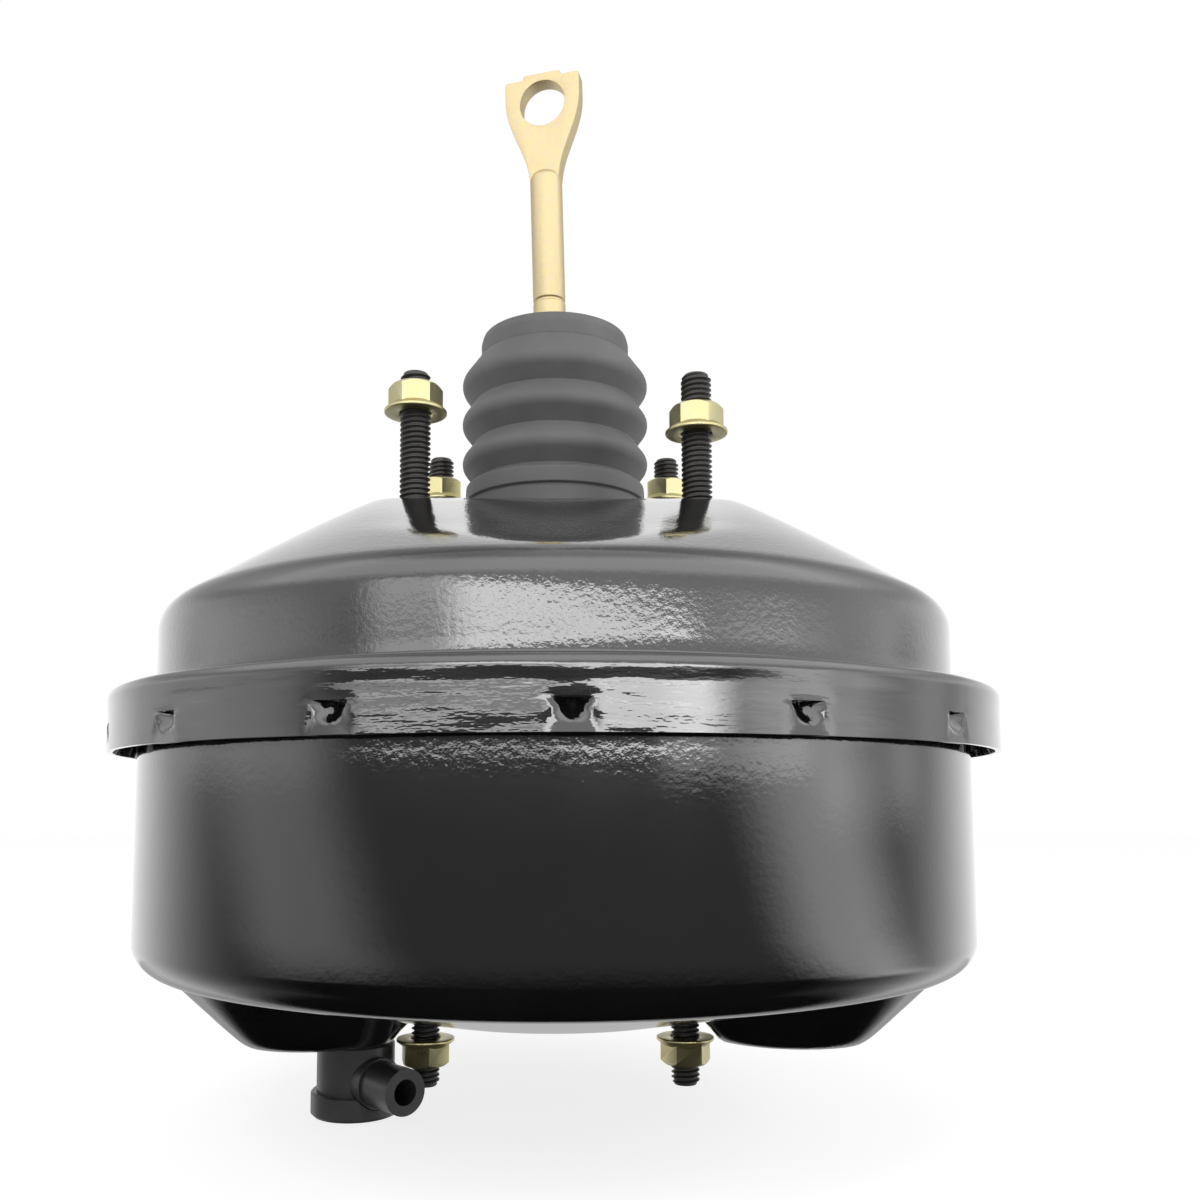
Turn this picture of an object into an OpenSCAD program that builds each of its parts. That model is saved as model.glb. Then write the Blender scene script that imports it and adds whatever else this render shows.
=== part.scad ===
// Tandem vacuum brake booster, as separate sub-parts in their released positions.
// Frame: origin at the middle of the firewall mounting face, +Z towards the pedal,
// X across the two master cylinder studs, Y away from the viewer. Lengths are in mm.

/* [Casing] */
// Outer radius of the crimp band
band_r = 140.25; // [120:0.25:180]
// How far the band stands out past the front shell's wall
band_over = 8.75; // [7:0.25:12]
// How far the rear shell's wall is stepped in from the front shell's
step_in = 4.9; // [4.5:0.1:9]
// Sheet thickness of both shells
sheet = 1.6; // [1:0.1:2.2]
// Height of the crimp band
band_h = 17.7; // [15:0.1:22]
// Bend radius between the rear shell's flange and the band
band_bend = 2.7; // [2.2:0.1:4]
// Height of the diaphragm's bead, clamped between the two shells
bead_h = 5.5; // [4:0.5:7]
// Depth of the rear chamber, beyond the piston's travel
rear_spare = 25.6; // [24:0.1:40]
// Depth of the front chamber, beyond the piston's travel
front_spare = 51.5; // [48:0.5:90]
// Bend radius between the front shell's wall and its floor
floor_bend = 9; // [5:0.5:12]
// Slope of the front shell's floor, in degrees
floor_slope = 13; // [6:0.5:16]
// Distance from a stud's centre to the platform's edge
platform_edge = 11.1; // [9.5:0.1:16]
// Bend radius at the rim below the platform's flanks
rim_bend = 10; // [4:0.5:12]
// Height of the rear shell's straight wall, between the rim's bend and the band
wall_h = 19; // [14:0.5:24]
// Thickness of the stiffener plates
stiff_t = 2; // [1.2:0.1:3]
// Radius of the pilot hole for the master cylinder
pilot_r = 17.5; // [14:0.5:22]
// Depth of the rebate that the boot's foot sits in
rebate = 0.4; // [0.2:0.1:0.8]

/* [Crimp] */
// Number of lanced tabs round the band
lances = 16; // [8:1:24]
// Turn of the first tab from the X axis
lance_turn = 1; // [0:0.5:20]
// Width of a tab's slit
lance_w = 10; // [8:0.5:12]
// How far a tab is pushed in under the front shell's flange
lance_in = 3.1; // [2.4:0.1:3.6]

/* [Lobes] */
// How far the two lobes stand out below the master cylinder pad
lobe_drop = 10.5; // [6:0.5:16]
// Radius of the flat pad between the lobes
lobe_in = 53.5; // [53:0.5:58]
// Distance from the front shell's wall in to the lobe's flat floor
lobe_out = 33; // [26:0.5:40]
// Half length of a lobe's floor
lobe_half = 31; // [22:0.5:42]

/* [Studs and nuts] */
// Side of the firewall stud square, and spacing of the front studs
stud_gap = 85.725; // [84:0.005:92]
// Radius of a stud's plain collar
stud_r = 4.7625; // [4:0.0005:5.5]
// Thread pitch
pitch = 1.5875; // [1:0.0005:2]
// Height of the firewall studs above the mounting face
stud_up = 40.6; // [38:0.1:60]
// Length of the front studs below the pad
front_stud = 27; // [25:0.5:40]
// Length of a stud's plain collar
collar = 4; // [2:0.5:8]
// Nut size across flats
nut_af = 14.3; // [13:0.1:16]
// Nut height, flange included
nut_h = 8.8; // [7:0.1:10]
// Radius of a nut's flange
nut_flange = 9.5; // [8.5:0.1:10]
// Drop of the firewall nuts below the studs' tips: near left, near right, far left, far right
nut_drop = [12.6, 18.6, 17.1, 17.1];
// Turns of the firewall nuts, in the same order
nut_turn = [7, 48, 37, 24];
// Drop of the front nuts' flanges below the pad
front_nut_drop = 11.5; // [4:0.5:15]
// Turns of the front nuts, left and right
front_nut_turn = [16, 57];

/* [Boot] */
// Rubber thickness
boot_t = 2; // [1.2:0.1:2.6]
// How far the valleys stand out past the collar
boot_valley = 2.4; // [1:0.1:5]
// Depth of the folds
boot_fold = 3.9; // [2:0.1:8]
// Spacing of the convolutions
boot_pitch = 13.6; // [12:0.1:16]
// Number of convolutions
boot_folds = 3; // [3:1:5]
// Height of the boot's base ring
boot_low = 18; // [16:0.5:26]
// Height of the boot's collar
boot_collar = 7.3; // [6:0.1:14]

/* [Piston and valve] */
// Travel of the power piston
stroke = 32; // [26:0.5:36]
// Swing of the pushrod to each side, in degrees
swing = 3; // [1:0.5:4]
// Radius of the air valve
valve_r = 9; // [8:0.1:11]
// Travel of the air valve in the piston
valve_stroke = 1.5; // [1:0.1:2.5]
// Wall of the power piston's rear tube
tube_wall = 3.9; // [3:0.1:6]
// Width of the bearing between that tube and the neck
bearing_w = 5.2; // [4:0.1:8]
// Height of the ball centre above the mounting face
ball_z = 4; // [0:0.5:6]
// Sheet thickness of the plates and the divider
plate_t = 1.2; // [0.8:0.1:1.8]
// Drop of the plates' dished part
dish = 16.1; // [10:0.1:18]
// Gap from a plate's rim to the rear shell's wall radius
plate_gap = 20.9; // [18:0.1:30]
// Thickness of the diaphragms
dia_t = 1.6; // [1:0.1:2.2]
// Radius of the output rod
out_r = 6; // [4:0.1:7]
// Wire thickness of the return spring
spring_wire = 3.4; // [2.4:0.1:4]

/* [Pushrod] */
// Pushrod radius
rod_r = 5.6; // [5:0.1:6.4]
// Distance from the ball to the eye
rod_len = 150; // [120:1:220]
// Lean of the rod towards -X
lean = 1.4; // [0:0.1:2]
// Turn of the eye about the rod
eye_turn = 16; // [0:1:90]
// Radius of the hole in the eye
eye_hole = 8.1; // [6:0.05:9]
// Width of the metal beside the hole
eye_rim = 5.25; // [3:0.05:8]
// Thickness of the paddle
eye_t = 5.6; // [4:0.1:8]

/* [Check valve] */
// Distance of the check valve from the booster's axis
cv_x = 65.6; // [65:0.2:72]
// Radius of its body
cv_r = 12.6; // [11.5:0.1:13]
// Wall of its bottom cap
cv_wall = 1.85; // [1.2:0.05:3]
// Height of the check valve below the lobe
cv_h = 25; // [24:0.5:40]
// Drop of the nipple's axis below the lobe
hose_drop = 13.3; // [13:0.1:15]
// Radius of the hose nipple
hose_r = 7.2; // [5:0.1:7.4]
// Bore radius of the hose nipple
hose_bore = 4; // [2:0.1:4.4]
// Reach of the nipple from the valve's axis
hose_reach = 29.5; // [24:0.5:45]
// Direction of the nipple
hose_turn = -50; // [-180:1:-48]

/* [Hidden] */
$fn = 96;
gap = 0.05;
run = 0.06;
front_r = band_r - band_over;
rear_r = front_r - step_in;
band_top = stroke + rear_spare;
foot_z = -band_top;
edge_z = foot_z - band_h;
seat_z = foot_z - sheet;
divider_z = seat_z - bead_h;
flange_z = divider_z - plate_t - sheet;
half_gap = stud_gap / 2;
platform = half_gap + platform_edge;
platform_corner = platform * sqrt(2) - 2.4;
rim_depth = band_top - wall_h;
lance_r = (pow(lance_w / 2, 2) + pow(lance_in, 2)) / 2 / lance_in;
lance_z = flange_z - gap;
knurl_r = stud_r + 0.85;
stud_head = knurl_r + 2.9;
head_t = 2.5;
crest_r = stud_r - 0.11;
root_r = crest_r - 0.8;
hex_r = nut_af / 2 / cos(30);
far = 2 * band_r;
flank = tangent_slope(platform);
cone = tangent_slope(platform_corner);

// Piston, valve and rod radii
tube_bore = valve_r + 9.5;
tube_r = tube_bore + tube_wall;
hub_r = tube_r + 3.6;
spigot_r = tube_r - 0.4;
cavity_r = valve_r + 5.05;
valve_bore = valve_r + gap;
stem_r = valve_r - 4;
ball_r = valve_r - 2.5;
chamber_r = valve_r + 3.6;
chamber_in = valve_r + 1.6;
seat_r = chamber_r + 1.4;
port_r = 1.9;
flange_r = hub_r + 8;
spring_r = spigot_r + 6.5;
bearing_r = hub_r + 5;
plate_r = rear_r - plate_gap;
plate_flat = norm([half_gap, half_gap]) - 2.6;
skirt_r = rear_r - 0.8;

// Levels, from the tube's top down
neck_bore = tube_r + bearing_w;
neck_r = neck_bore + sheet;
neck_h = boot_low - 3;
neck_hole = tube_r + 2.6;
boot_base = neck_r + boot_t;
bead_r = tube_r + 0.8;
boot_r = bead_r + boot_t;
valley_r = boot_r + boot_valley;
fold_top = boot_low + boot_folds * boot_pitch;
boot_top = fold_top + 3.2 + boot_collar;
boot_vent = rod_r + (boot_top - ball_z) * tan(lean + swing) + 0.9;
tube_top = boot_top - boot_t - 1.3;
lip_t = 2.4;
poppet_z = ball_z + 9.6;
bead_z = poppet_z + 12.9;
retain_z = bead_z + 3.5;
washer_z = retain_z + 14.4;
filter_z = washer_z + 6;
key_t = 2.2;
key_z = ball_z - 15.5;
valve_foot = ball_z - 22;
stem_foot = valve_foot - 12;
rear_head = -sheet - stiff_t;
plate1_z = rear_head - head_t - 7.9;
piston_flange = plate1_z - plate_t;
flange_low = piston_flange - 3.8;
hub_z = flange_low - stroke - 8.2;
rim1_z = plate1_z - plate_t - dish - 12.3;
trough_z = rim1_z - stroke - 4.2;
bearing_low = hub_z - 7.8;
plate2_z = bearing_low - 5;
spigot_z = plate2_z - 12;
disc_z = spigot_z + 28;
disc_t = 6;
rod_head = disc_z - disc_t;
rod_head_t = 4;
face_z = plate2_z - stroke - front_spare;
front_head = face_z + sheet + stiff_t;
pad_r = lobe_in + 0.5;
corner_x = front_r - floor_bend * (1 - sin(floor_slope));
corner_z = face_z + (corner_x - pad_r) * tan(floor_slope) + floor_bend * cos(floor_slope);

// Check valve levels
lobe_z = face_z - lobe_drop;
lobe_rise = corner_z - 3 - lobe_z;
lobe_floor = front_r - lobe_out;
lobe_wall = (front_r - 1 - lobe_floor) / lobe_rise;
cv_hole = 8;
cv_stem = 4.95;
cv_top = lobe_z - 2;
cv_bottom = lobe_z - cv_h;
cap_top = cv_bottom + 7.8;
cap_ledge = cap_top - 1.3;
cap_floor = cv_bottom + 3;
cv_chamber = cv_r - 3.1;
seat_low = cv_top - gap - 4.9;
disc_h = 1.9;
hose_z = lobe_z - hose_drop;

// Slope of the line from (x, 0) that touches the rim's bend from above
function tangent_slope(x) =
    let(c = [rear_r - rim_bend - x, rim_depth])
    atan(c.y / c.x) - asin(rim_bend / norm(c));

// Unit normal to the left of the way from a to b
function side(a, b) = [a.y - b.y, b.x - a.x] / norm(b - a);

// Point i of path p moved d to its left, mitred so the wall keeps its thickness
function shifted(p, d, i) =
    let(
        u = side(p[max(i - 1, 0)], p[max(i, 1)]),
        v = side(p[min(i, len(p) - 2)], p[min(i + 1, len(p) - 1)])
    )
    p[i] + d * (u + v) / (1 + u * v);

function moved(p, d) = [for (i = [0:len(p) - 1]) shifted(p, d, i)];

function reversed(p) = [for (i = [len(p) - 1:-1:0]) p[i]];

// Closed outline of a wall t thick, centred on path p
function wall(p, t) = concat(moved(p, t / 2), reversed(moved(p, -t / 2)));

function arc(c, r, a, b, n = 6) = [
    for (i = [0:n])
    let(t = a + (b - a) * i / n)
    c + r * [cos(t), sin(t)]
];

// Middle line of a dished plate: hub, dished part, then a rolled rim
function plate_path(r_in, r_out, z, drop) = [
    [r_in, z], [plate_flat, z], [r_out - 5.3, z - drop], [r_out, z - drop - 3.5], [r_out, z - drop - 9.3]
];

module turned(outline) {
    rotate_extrude() polygon(outline);
}

module ring(r_in, r_out, low, high) {
    turned([[r_in, low], [r_out, low], [r_out, high], [r_in, high]]);
}

module sheet_ring(path, t) {
    turned(wall(path, t));
}

// Round wire coiled from z0 to z1, with closed end turns
module coil(z0, z1, r, wire, turns, steps = 22, sides = 8) {
    dead = 0.8;
    low = wire * 1.06;
    rise = z1 - z0 - wire;
    mid = (rise - 2 * dead * low) / (turns - 2 * dead);
    n = round(turns * steps);
    function level(u) = u < dead ? u * low
        : u > turns - dead ? rise - (turns - u) * low
        : dead * low + (u - dead) * mid;
    pts = [
        for (i = [0:n], j = [0:sides - 1])
        let(u = i * turns / n, a = 360 * u, b = 360 * j / sides)
        [(r + wire / 2 * cos(b)) * cos(a), (r + wire / 2 * cos(b)) * sin(a),
            z0 + wire / 2 + level(u) + wire / 2 * sin(b)]
    ];
    walls = [
        for (i = [0:n - 1], j = [0:sides - 1], k = [0:1])
        let(a = i * sides + j, b = i * sides + (j + 1) % sides)
        k == 0 ? [a, a + sides, b] : [b, a + sides, b + sides]
    ];
    ends = [[for (j = [0:sides - 1]) j], [for (j = [sides - 1:-1:0]) n * sides + j]];
    polyhedron(points = pts, faces = concat(walls, ends), convexity = 12);
}

// Zigzag side of a thread from z = a up to z = b
function thread(a, b) =
    let(n = floor((b - a) / pitch))
    [for (i = [0:2 * n]) [i % 2 == 0 ? crest_r : root_r, a + i * pitch / 2]];

// Pressed-in stud: head, knurl through stiffener and shell, collar, thread. Its face is at z = 0.
module stud(length) {
    low = -sheet - stiff_t;
    ridges = thread(collar + 0.4, length - 1.6);
    last = ridges[len(ridges) - 1];
    turned(concat(
        [[0, low - head_t], [stud_head - 0.4, low - head_t], [stud_head, low - head_t + 0.4]],
        [[stud_head, low], [knurl_r, low], [knurl_r, 0], [stud_r, 0], [stud_r, collar]],
        ridges,
        [[crest_r, last.y + 0.1], [crest_r - 1.1, length], [0, length]]
    ));
}

// Flange nut with its flange face at z = 0
module nut() {
    mouth = [[0, 0.1], [crest_r + 0.9, 0.1], [crest_r - 0.3, -1.1], [0, -1.1]];
    corner = nut_af / 2 - 0.3;
    difference() {
        union() {
            turned([[0, 0], [nut_flange, 0], [nut_flange, 0.7], [nut_af / 2, 2.4], [0, 2.4]]);
            intersection() {
                translate([0, 0, 1]) cylinder(h = nut_h - 1, r = hex_r, $fn = 6);
                turned([[0, 0], [hex_r + 1, 0], [hex_r + 1, nut_h - 1.6], [corner, nut_h], [0, nut_h]]);
            }
        }
        translate([0, 0, -1]) cylinder(h = nut_h + 2, r = crest_r + 0.03);
        mirror([0, 0, 1]) turned(mouth);
        translate([0, 0, nut_h]) turned(mouth);
    }
}

module at_firewall() {
    for (i = [0:3]) translate([(i % 2 == 0 ? -1 : 1) * half_gap, (i < 2 ? -1 : 1) * half_gap, 0]) {
        $i = i;
        children();
    }
}

module at_front() {
    for (i = [0, 1]) translate([(2 * i - 1) * half_gap, 0, face_z]) rotate([180, 0, 0]) {
        $i = i;
        children();
    }
}

module stud_holes() {
    depth = sheet + stiff_t + 1;
    at_firewall() translate([0, 0, -depth]) cylinder(h = depth + 1, r = knurl_r);
    at_front() translate([0, 0, -depth]) cylinder(h = depth + 1, r = knurl_r);
}

// Rear shell's outer side, from the platform's corner to the band's lower edge
function rear_side() = concat(
    [[platform_corner, 0]],
    arc([rear_r - rim_bend, -rim_depth], rim_bend, 90 - cone, 0),
    [[rear_r, foot_z + 2], [rear_r + 2, foot_z]],
    arc([band_r - band_bend, foot_z - band_bend], band_bend, 90, 0),
    [[band_r, edge_z]]
);

// Solid under the four planes that flank the platform, sunk by drop
module roof(drop) {
    apex = platform * tan(flank) - drop;
    eave = apex - far * tan(flank);
    outline = [[0, apex], [far, eave], [far, -far], [-far, -far], [-far, eave]];
    intersection() {
        rotate([90, 0, 0]) linear_extrude(height = 2 * far, center = true) polygon(outline);
        rotate([90, 0, 90]) linear_extrude(height = 2 * far, center = true) polygon(outline);
    }
}

// Solid under the rear shell's skin, d inside it
module rear_form(d) {
    low = edge_z - (d > 0 ? 1 : 0);
    intersection() {
        turned(concat(moved(concat([[0, 0]], rear_side()), -d), [[band_r - d, low], [0, low]]));
        roof(d / cos(flank));
    }
}

module at_lances() {
    for (i = [0:lances - 1]) rotate([0, 0, lance_turn + 360 * i / lances]) children();
}

// Half-round dent below each tab's slit, as a solid of radius r
module dents(r) {
    at_lances() intersection() {
        translate([band_r - lance_in + lance_r, 0, lance_z]) sphere(r = r);
        translate([band_r - lance_r, -2 * lance_r, lance_z - 2 * lance_r])
            cube([2 * lance_r, 4 * lance_r, 2 * lance_r]);
    }
}

module rear_shell() {
    color([0.09, 0.09, 0.1]) difference() {
        union() {
            difference() {
                rear_form(0);
                rear_form(sheet);
            }
            ring(neck_hole, neck_r, -sheet, 0);
            ring(neck_bore, neck_r, -sheet / 2, neck_h);
            intersection() {
                dents(lance_r + 0.75 * sheet);
                translate([0, 0, edge_z]) cylinder(h = band_h, r = band_r - 0.2);
            }
        }
        translate([0, 0, -far / 2]) cylinder(h = far, r = neck_hole);
        stud_holes();
        ring(neck_r, boot_base + 1.2, -rebate, 1);
        dents(lance_r);
    }
}

// Front shell's outer side, from its flange to the pilot hole
function front_side() =
    concat(
        [[band_r - sheet - 1, flange_z], [front_r + 2, flange_z], [front_r, flange_z - 2]],
        arc([front_r - floor_bend, corner_z], floor_bend, 0, floor_slope - 90),
        [[pad_r, face_z], [pilot_r, face_z]]
    );

// Both lobes as solids, d inside their skin
module lobe_form(d) {
    rise = lobe_rise - d;
    bottom = lobe_z + d;
    inset = d * 0.42;
    outer = lobe_floor - inset;
    intersection() {
        turned([[lobe_in + d, bottom], [outer, bottom], [outer + rise * lobe_wall, bottom + rise],
            [lobe_in + d - 4, bottom + rise]]);
        for (s = [-1, 1]) translate([s * ((lobe_in + lobe_floor) / 2 + 1), 0, bottom])
            cylinder(h = rise, r1 = lobe_half - inset, r2 = lobe_half - inset + rise);
    }
}

module front_shell() {
    outer = front_side();
    inner = reversed(moved(outer, -sheet));
    core = concat([[0, flange_z]], moved(outer, -sheet / 2), [[0, face_z + sheet / 2]]);
    color([0.07, 0.07, 0.08]) difference() {
        union() {
            turned(concat(outer, inner));
            difference() {
                lobe_form(0);
                turned(core);
            }
        }
        lobe_form(sheet);
        stud_holes();
        translate([-cv_x, 0, lobe_z - 1]) cylinder(h = sheet + 3, r = cv_hole);
    }
}

module housing_divider() {
    tube = bearing_r + plate_t / 2;
    rim = divider_z - plate_t / 2;
    color([0.55, 0.56, 0.55]) sheet_ring([
        [tube, bearing_low + 1], [tube, hub_z - plate_t / 2], [plate_flat + 4, hub_z - plate_t / 2],
        [plate_r + 2.3, trough_z], [skirt_r, trough_z], [skirt_r, rim], [band_r - sheet - 1.2, rim]
    ], plate_t);
}

module front_stiffener() {
    color([0.3, 0.3, 0.31]) difference() {
        ring(pilot_r, half_gap + stud_head, face_z + sheet, front_head);
        stud_holes();
    }
}

module rear_stiffener() {
    color([0.3, 0.3, 0.31]) difference() {
        translate([0, 0, rear_head]) linear_extrude(height = stiff_t) intersection() {
            square(2 * platform - 2.4, center = true);
            circle(r = platform_corner - 4);
        }
        translate([0, 0, rear_head - 1]) cylinder(h = stiff_t + 2, r = neck_hole);
        stud_holes();
    }
}

module firewall_studs() {
    color([0.1, 0.1, 0.11]) at_firewall() stud(stud_up);
}

module firewall_nuts() {
    color([0.75, 0.66, 0.3]) at_firewall()
        translate([0, 0, stud_up - nut_drop[$i]]) rotate([0, 0, nut_turn[$i]]) nut();
}

module front_studs() {
    color([0.1, 0.1, 0.11]) at_front() stud(front_stud);
}

module front_nuts() {
    color([0.75, 0.66, 0.3]) at_front()
        translate([0, 0, front_nut_drop]) rotate([0, 0, front_nut_turn[$i]]) nut();
}

module front_seal() {
    color([0.12, 0.12, 0.12]) turned([
        [out_r + gap, face_z + 1], [out_r + 1.6, face_z], [pilot_r, face_z], [pilot_r, front_head],
        [pilot_r + 2.5, front_head], [pilot_r + 2.5, front_head + 2.4], [out_r + 3, front_head + 2.4],
        [out_r + gap, front_head + 0.6]
    ]);
}

module neck_bearing() {
    color([0.85, 0.83, 0.75]) turned([
        [tube_r + run, 1], [tube_r + 1.2, 0], [neck_bore, 0], [neck_bore, neck_h - 2.5],
        [tube_r + 2, neck_h - 2.5], [tube_r + run, neck_h - 1]
    ]);
}

module divider_bearing() {
    top = hub_z + 1.6;
    color([0.85, 0.83, 0.75]) turned([
        [hub_r + run, bearing_low + 0.6], [hub_r + 1.4, bearing_low], [bearing_r + 2.2, bearing_low],
        [bearing_r + 2.2, bearing_low + 1], [bearing_r, bearing_low + 1], [bearing_r, top],
        [hub_r + 1.4, top], [hub_r + run, top - 0.8]
    ]);
}

module grommet() {
    color([0.1, 0.1, 0.1]) translate([-cv_x, 0, 0]) turned([
        [cv_stem + gap, cv_top], [cv_hole + 2.5, cv_top], [cv_hole + 2.5, lobe_z], [cv_hole, lobe_z],
        [cv_hole, lobe_z + sheet], [cv_hole + 2, lobe_z + sheet], [cv_hole + 1, lobe_z + sheet + 2],
        [cv_stem + gap, lobe_z + sheet + 2]
    ]);
}

// Outer side of the bellows, bottom to top
function fold_side() = [
    for (i = [0:12 * boot_folds])
    [valley_r + boot_fold * abs(sin(15 * i)), boot_low + i * boot_pitch / 12]
];

module boot() {
    outer = concat(
        [[boot_base, -rebate], [boot_base, boot_low - 1]],
        fold_side(),
        [[boot_r, fold_top + 3.2], [boot_r, boot_top - 1.4], [boot_r - 1.4, boot_top], [boot_vent, boot_top]]
    );
    color([0.2, 0.2, 0.2]) turned(concat(outer, reversed(moved(outer, boot_t))));
}

module return_spring() {
    color([0.6, 0.6, 0.62]) coil(front_head, plate2_z - plate_t - 5, spring_r, spring_wire, 6.5);
}

module primary_diaphragm() {
    lift = (plate_t + dia_t) / 2 + 0.01;
    plate = plate_path(tube_r - 1.15, plate_r, plate1_z - plate_t / 2, dish);
    low = plate[4].y;
    outer = rear_r - sheet - dia_t / 2;
    rim = band_r - band_bend - 0.3;
    fold = min(low, -rim_depth - 1.4);
    color([0.16, 0.16, 0.17]) union() {
        sheet_ring(concat(
            moved(plate, lift),
            [[plate_r + 4.3, low - 4.6], [plate_r + 9.3, low - 6.1], [plate_r + 14.8, low - 4.1]],
            [[outer - 2, fold - 0.6], [outer, fold], [outer, seat_z - dia_t / 2], [rim, seat_z - dia_t / 2]]
        ), dia_t);
        ring(rear_r + 3.4, rim, divider_z, seat_z);
    }
}

module secondary_diaphragm() {
    lift = (plate_t + dia_t) / 2 + 0.01;
    r_out = plate_r + 3.2;
    plate = plate_path(spigot_r + gap, r_out, plate2_z - plate_t / 2, dish - 2.6);
    low = plate[4].y;
    bead_in = skirt_r + plate_t / 2 + gap;
    bead_out = front_r - sheet - gap;
    mid = (bead_in + bead_out) / 2;
    color([0.16, 0.16, 0.17]) union() {
        sheet_ring(concat(
            moved(plate, lift),
            [[r_out + 4.1, low - 5.4], [r_out + 10.1, low - 7], [mid - 3, low - 4.6], [mid, low + 2]],
            [[mid, flange_z - 3.5]]
        ), dia_t);
        ring(bead_in, bead_out, flange_z - 6.5, flange_z - 2);
    }
}

module power_piston() {
    port_x = (seat_r + tube_bore) / 2;
    stem_bore = stem_r + 0.04;
    floor_z = valve_foot - valve_stroke - 0.3;
    lip1 = plate1_z + dia_t + 0.02;
    lip2 = plate2_z + dia_t + 0.02;
    inside = [
        [cavity_r, spigot_z], [cavity_r, disc_z], [stem_bore, disc_z], [stem_bore, floor_z],
        [valve_bore, floor_z], [valve_bore, ball_z + 2], [chamber_in, ball_z + 2], [chamber_in, ball_z - 12],
        [chamber_r, ball_z - 12], [chamber_r, poppet_z - 1], [seat_r, poppet_z - 1], [seat_r, ball_z],
        [tube_bore, ball_z], [tube_bore, tube_top]
    ];
    outside = [
        [bead_r, tube_top], [bead_r, tube_top - 3.5], [tube_r, tube_top - 4.3], [tube_r, lip1],
        [tube_r - 1.2, lip1], [tube_r - 1.2, plate1_z], [tube_r, plate1_z], [tube_r, piston_flange],
        [flange_r, piston_flange], [flange_r, flange_low], [hub_r, flange_low], [hub_r, lip2],
        [spigot_r, lip2], [spigot_r, spigot_z]
    ];
    color([0.33, 0.2, 0.12]) difference() {
        turned(concat(inside, outside));
        for (a = [90, 270]) rotate([0, 0, a]) translate([port_x, 0, spigot_z - 1])
            cylinder(h = ball_z - spigot_z + 1.5, r = port_r);
        for (a = [-35, 0, 35]) rotate([0, 0, a]) translate([chamber_in + 1, 0, ball_z - 10])
            rotate([0, 90, 0]) cylinder(h = tube_r, r = port_r - 0.1);
        translate([-tube_r - 1, -valve_r - 0.2, key_z - 0.1])
            cube([tube_r + 8, 2 * valve_r + 0.4, key_t + 0.2]);
    }
}

module primary_plate() {
    path = plate_path(tube_r + gap, plate_r, plate1_z - plate_t / 2, dish);
    color([0.62, 0.6, 0.5]) sheet_ring(path, plate_t);
}

module secondary_plate() {
    path = plate_path(spigot_r + gap, plate_r + 3.2, plate2_z - plate_t / 2, dish - 2.6);
    color([0.62, 0.6, 0.5]) sheet_ring(path, plate_t);
}

module plate_retainer() {
    top = plate2_z - plate_t;
    guide = spring_r - spring_wire / 2 - 1.3;
    color([0.25, 0.25, 0.26]) turned([
        [spigot_r, top], [spring_r + 4.5, top], [spring_r + 4.5, top - 3], [spring_r + 2.5, top - 5],
        [guide, top - 5], [guide - 0.6, top - 8], [spigot_r, top - 8]
    ]);
}

module reaction_disc() {
    color([0.1, 0.1, 0.1]) ring(0, cavity_r - gap, rod_head, disc_z);
}

module reaction_pin() {
    top = stem_foot - valve_stroke - 0.1;
    color([0.7, 0.7, 0.72])
        turned([[0, disc_z], [stem_r, disc_z], [stem_r, top - 0.4], [stem_r - 0.4, top], [0, top]]);
}

module output_rod() {
    low = rod_head - rod_head_t;
    color([0.72, 0.72, 0.74]) turned([
        [0, rod_head], [cavity_r - 0.1, rod_head], [cavity_r - 0.1, low], [out_r + 1.5, low],
        [out_r, low - 1.5], [out_r, face_z + 2], [out_r - 1, face_z + 1], [out_r - 2, face_z + 1],
        [out_r - 2, face_z - 0.6],
        [out_r - 3, face_z - 1.6], [0, face_z - 1.8]
    ]);
}

module reaction_retainer() {
    head = rod_head - rod_head_t;
    color([0.25, 0.25, 0.26]) turned([
        [out_r + 3.4, head], [cavity_r, head], [cavity_r, spigot_z], [spigot_r - 0.5, spigot_z],
        [spigot_r - 0.5, spigot_z - 2.5], [out_r + 0.8, spigot_z - 2.5], [out_r + 0.8, spigot_z - 0.5],
        [out_r + 3.4, spigot_z + 2]
    ]);
}

module valve_key() {
    neck = valve_r - 2.3;
    color([0.7, 0.7, 0.72]) translate([0, 0, key_z]) linear_extrude(height = key_t) difference() {
        translate([-tube_r + 0.6, -valve_r]) square([tube_r + 5.4, 2 * valve_r]);
        circle(r = neck);
        translate([0, -neck]) square([valve_r, 2 * neck]);
    }
}

module poppet() {
    lip_r = tube_bore - 3.3;
    color([0.13, 0.13, 0.13]) union() {
        ring(valve_r - 0.4, lip_r, poppet_z, poppet_z + lip_t);
        sheet_ring([
            [lip_r - 0.7, poppet_z + lip_t - 0.6], [lip_r + 1.1, poppet_z + 5.6], [lip_r - 0.3, poppet_z + 9],
            [lip_r + 1.8, bead_z + 0.5], [lip_r + 1.8, bead_z + 2]
        ], 1.2);
        ring(lip_r + 0.7, tube_bore, bead_z, retain_z);
    }
}

module poppet_retainer() {
    inner = tube_bore - plate_t;
    color([0.72, 0.66, 0.4]) turned([
        [valve_r + 1, retain_z], [tube_bore, retain_z], [tube_bore, retain_z + 6], [inner, retain_z + 6],
        [inner, retain_z + plate_t], [valve_r + 1, retain_z + plate_t]
    ]);
}

module poppet_spring() {
    color([0.6, 0.6, 0.62]) coil(poppet_z + lip_t, retain_z, valve_r + 3, 0.9, 4.5, 16, 6);
}

module air_filter() {
    color([0.3, 0.29, 0.27]) ring(boot_vent - 0.3, tube_bore, filter_z, tube_top - 2);
}

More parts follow.
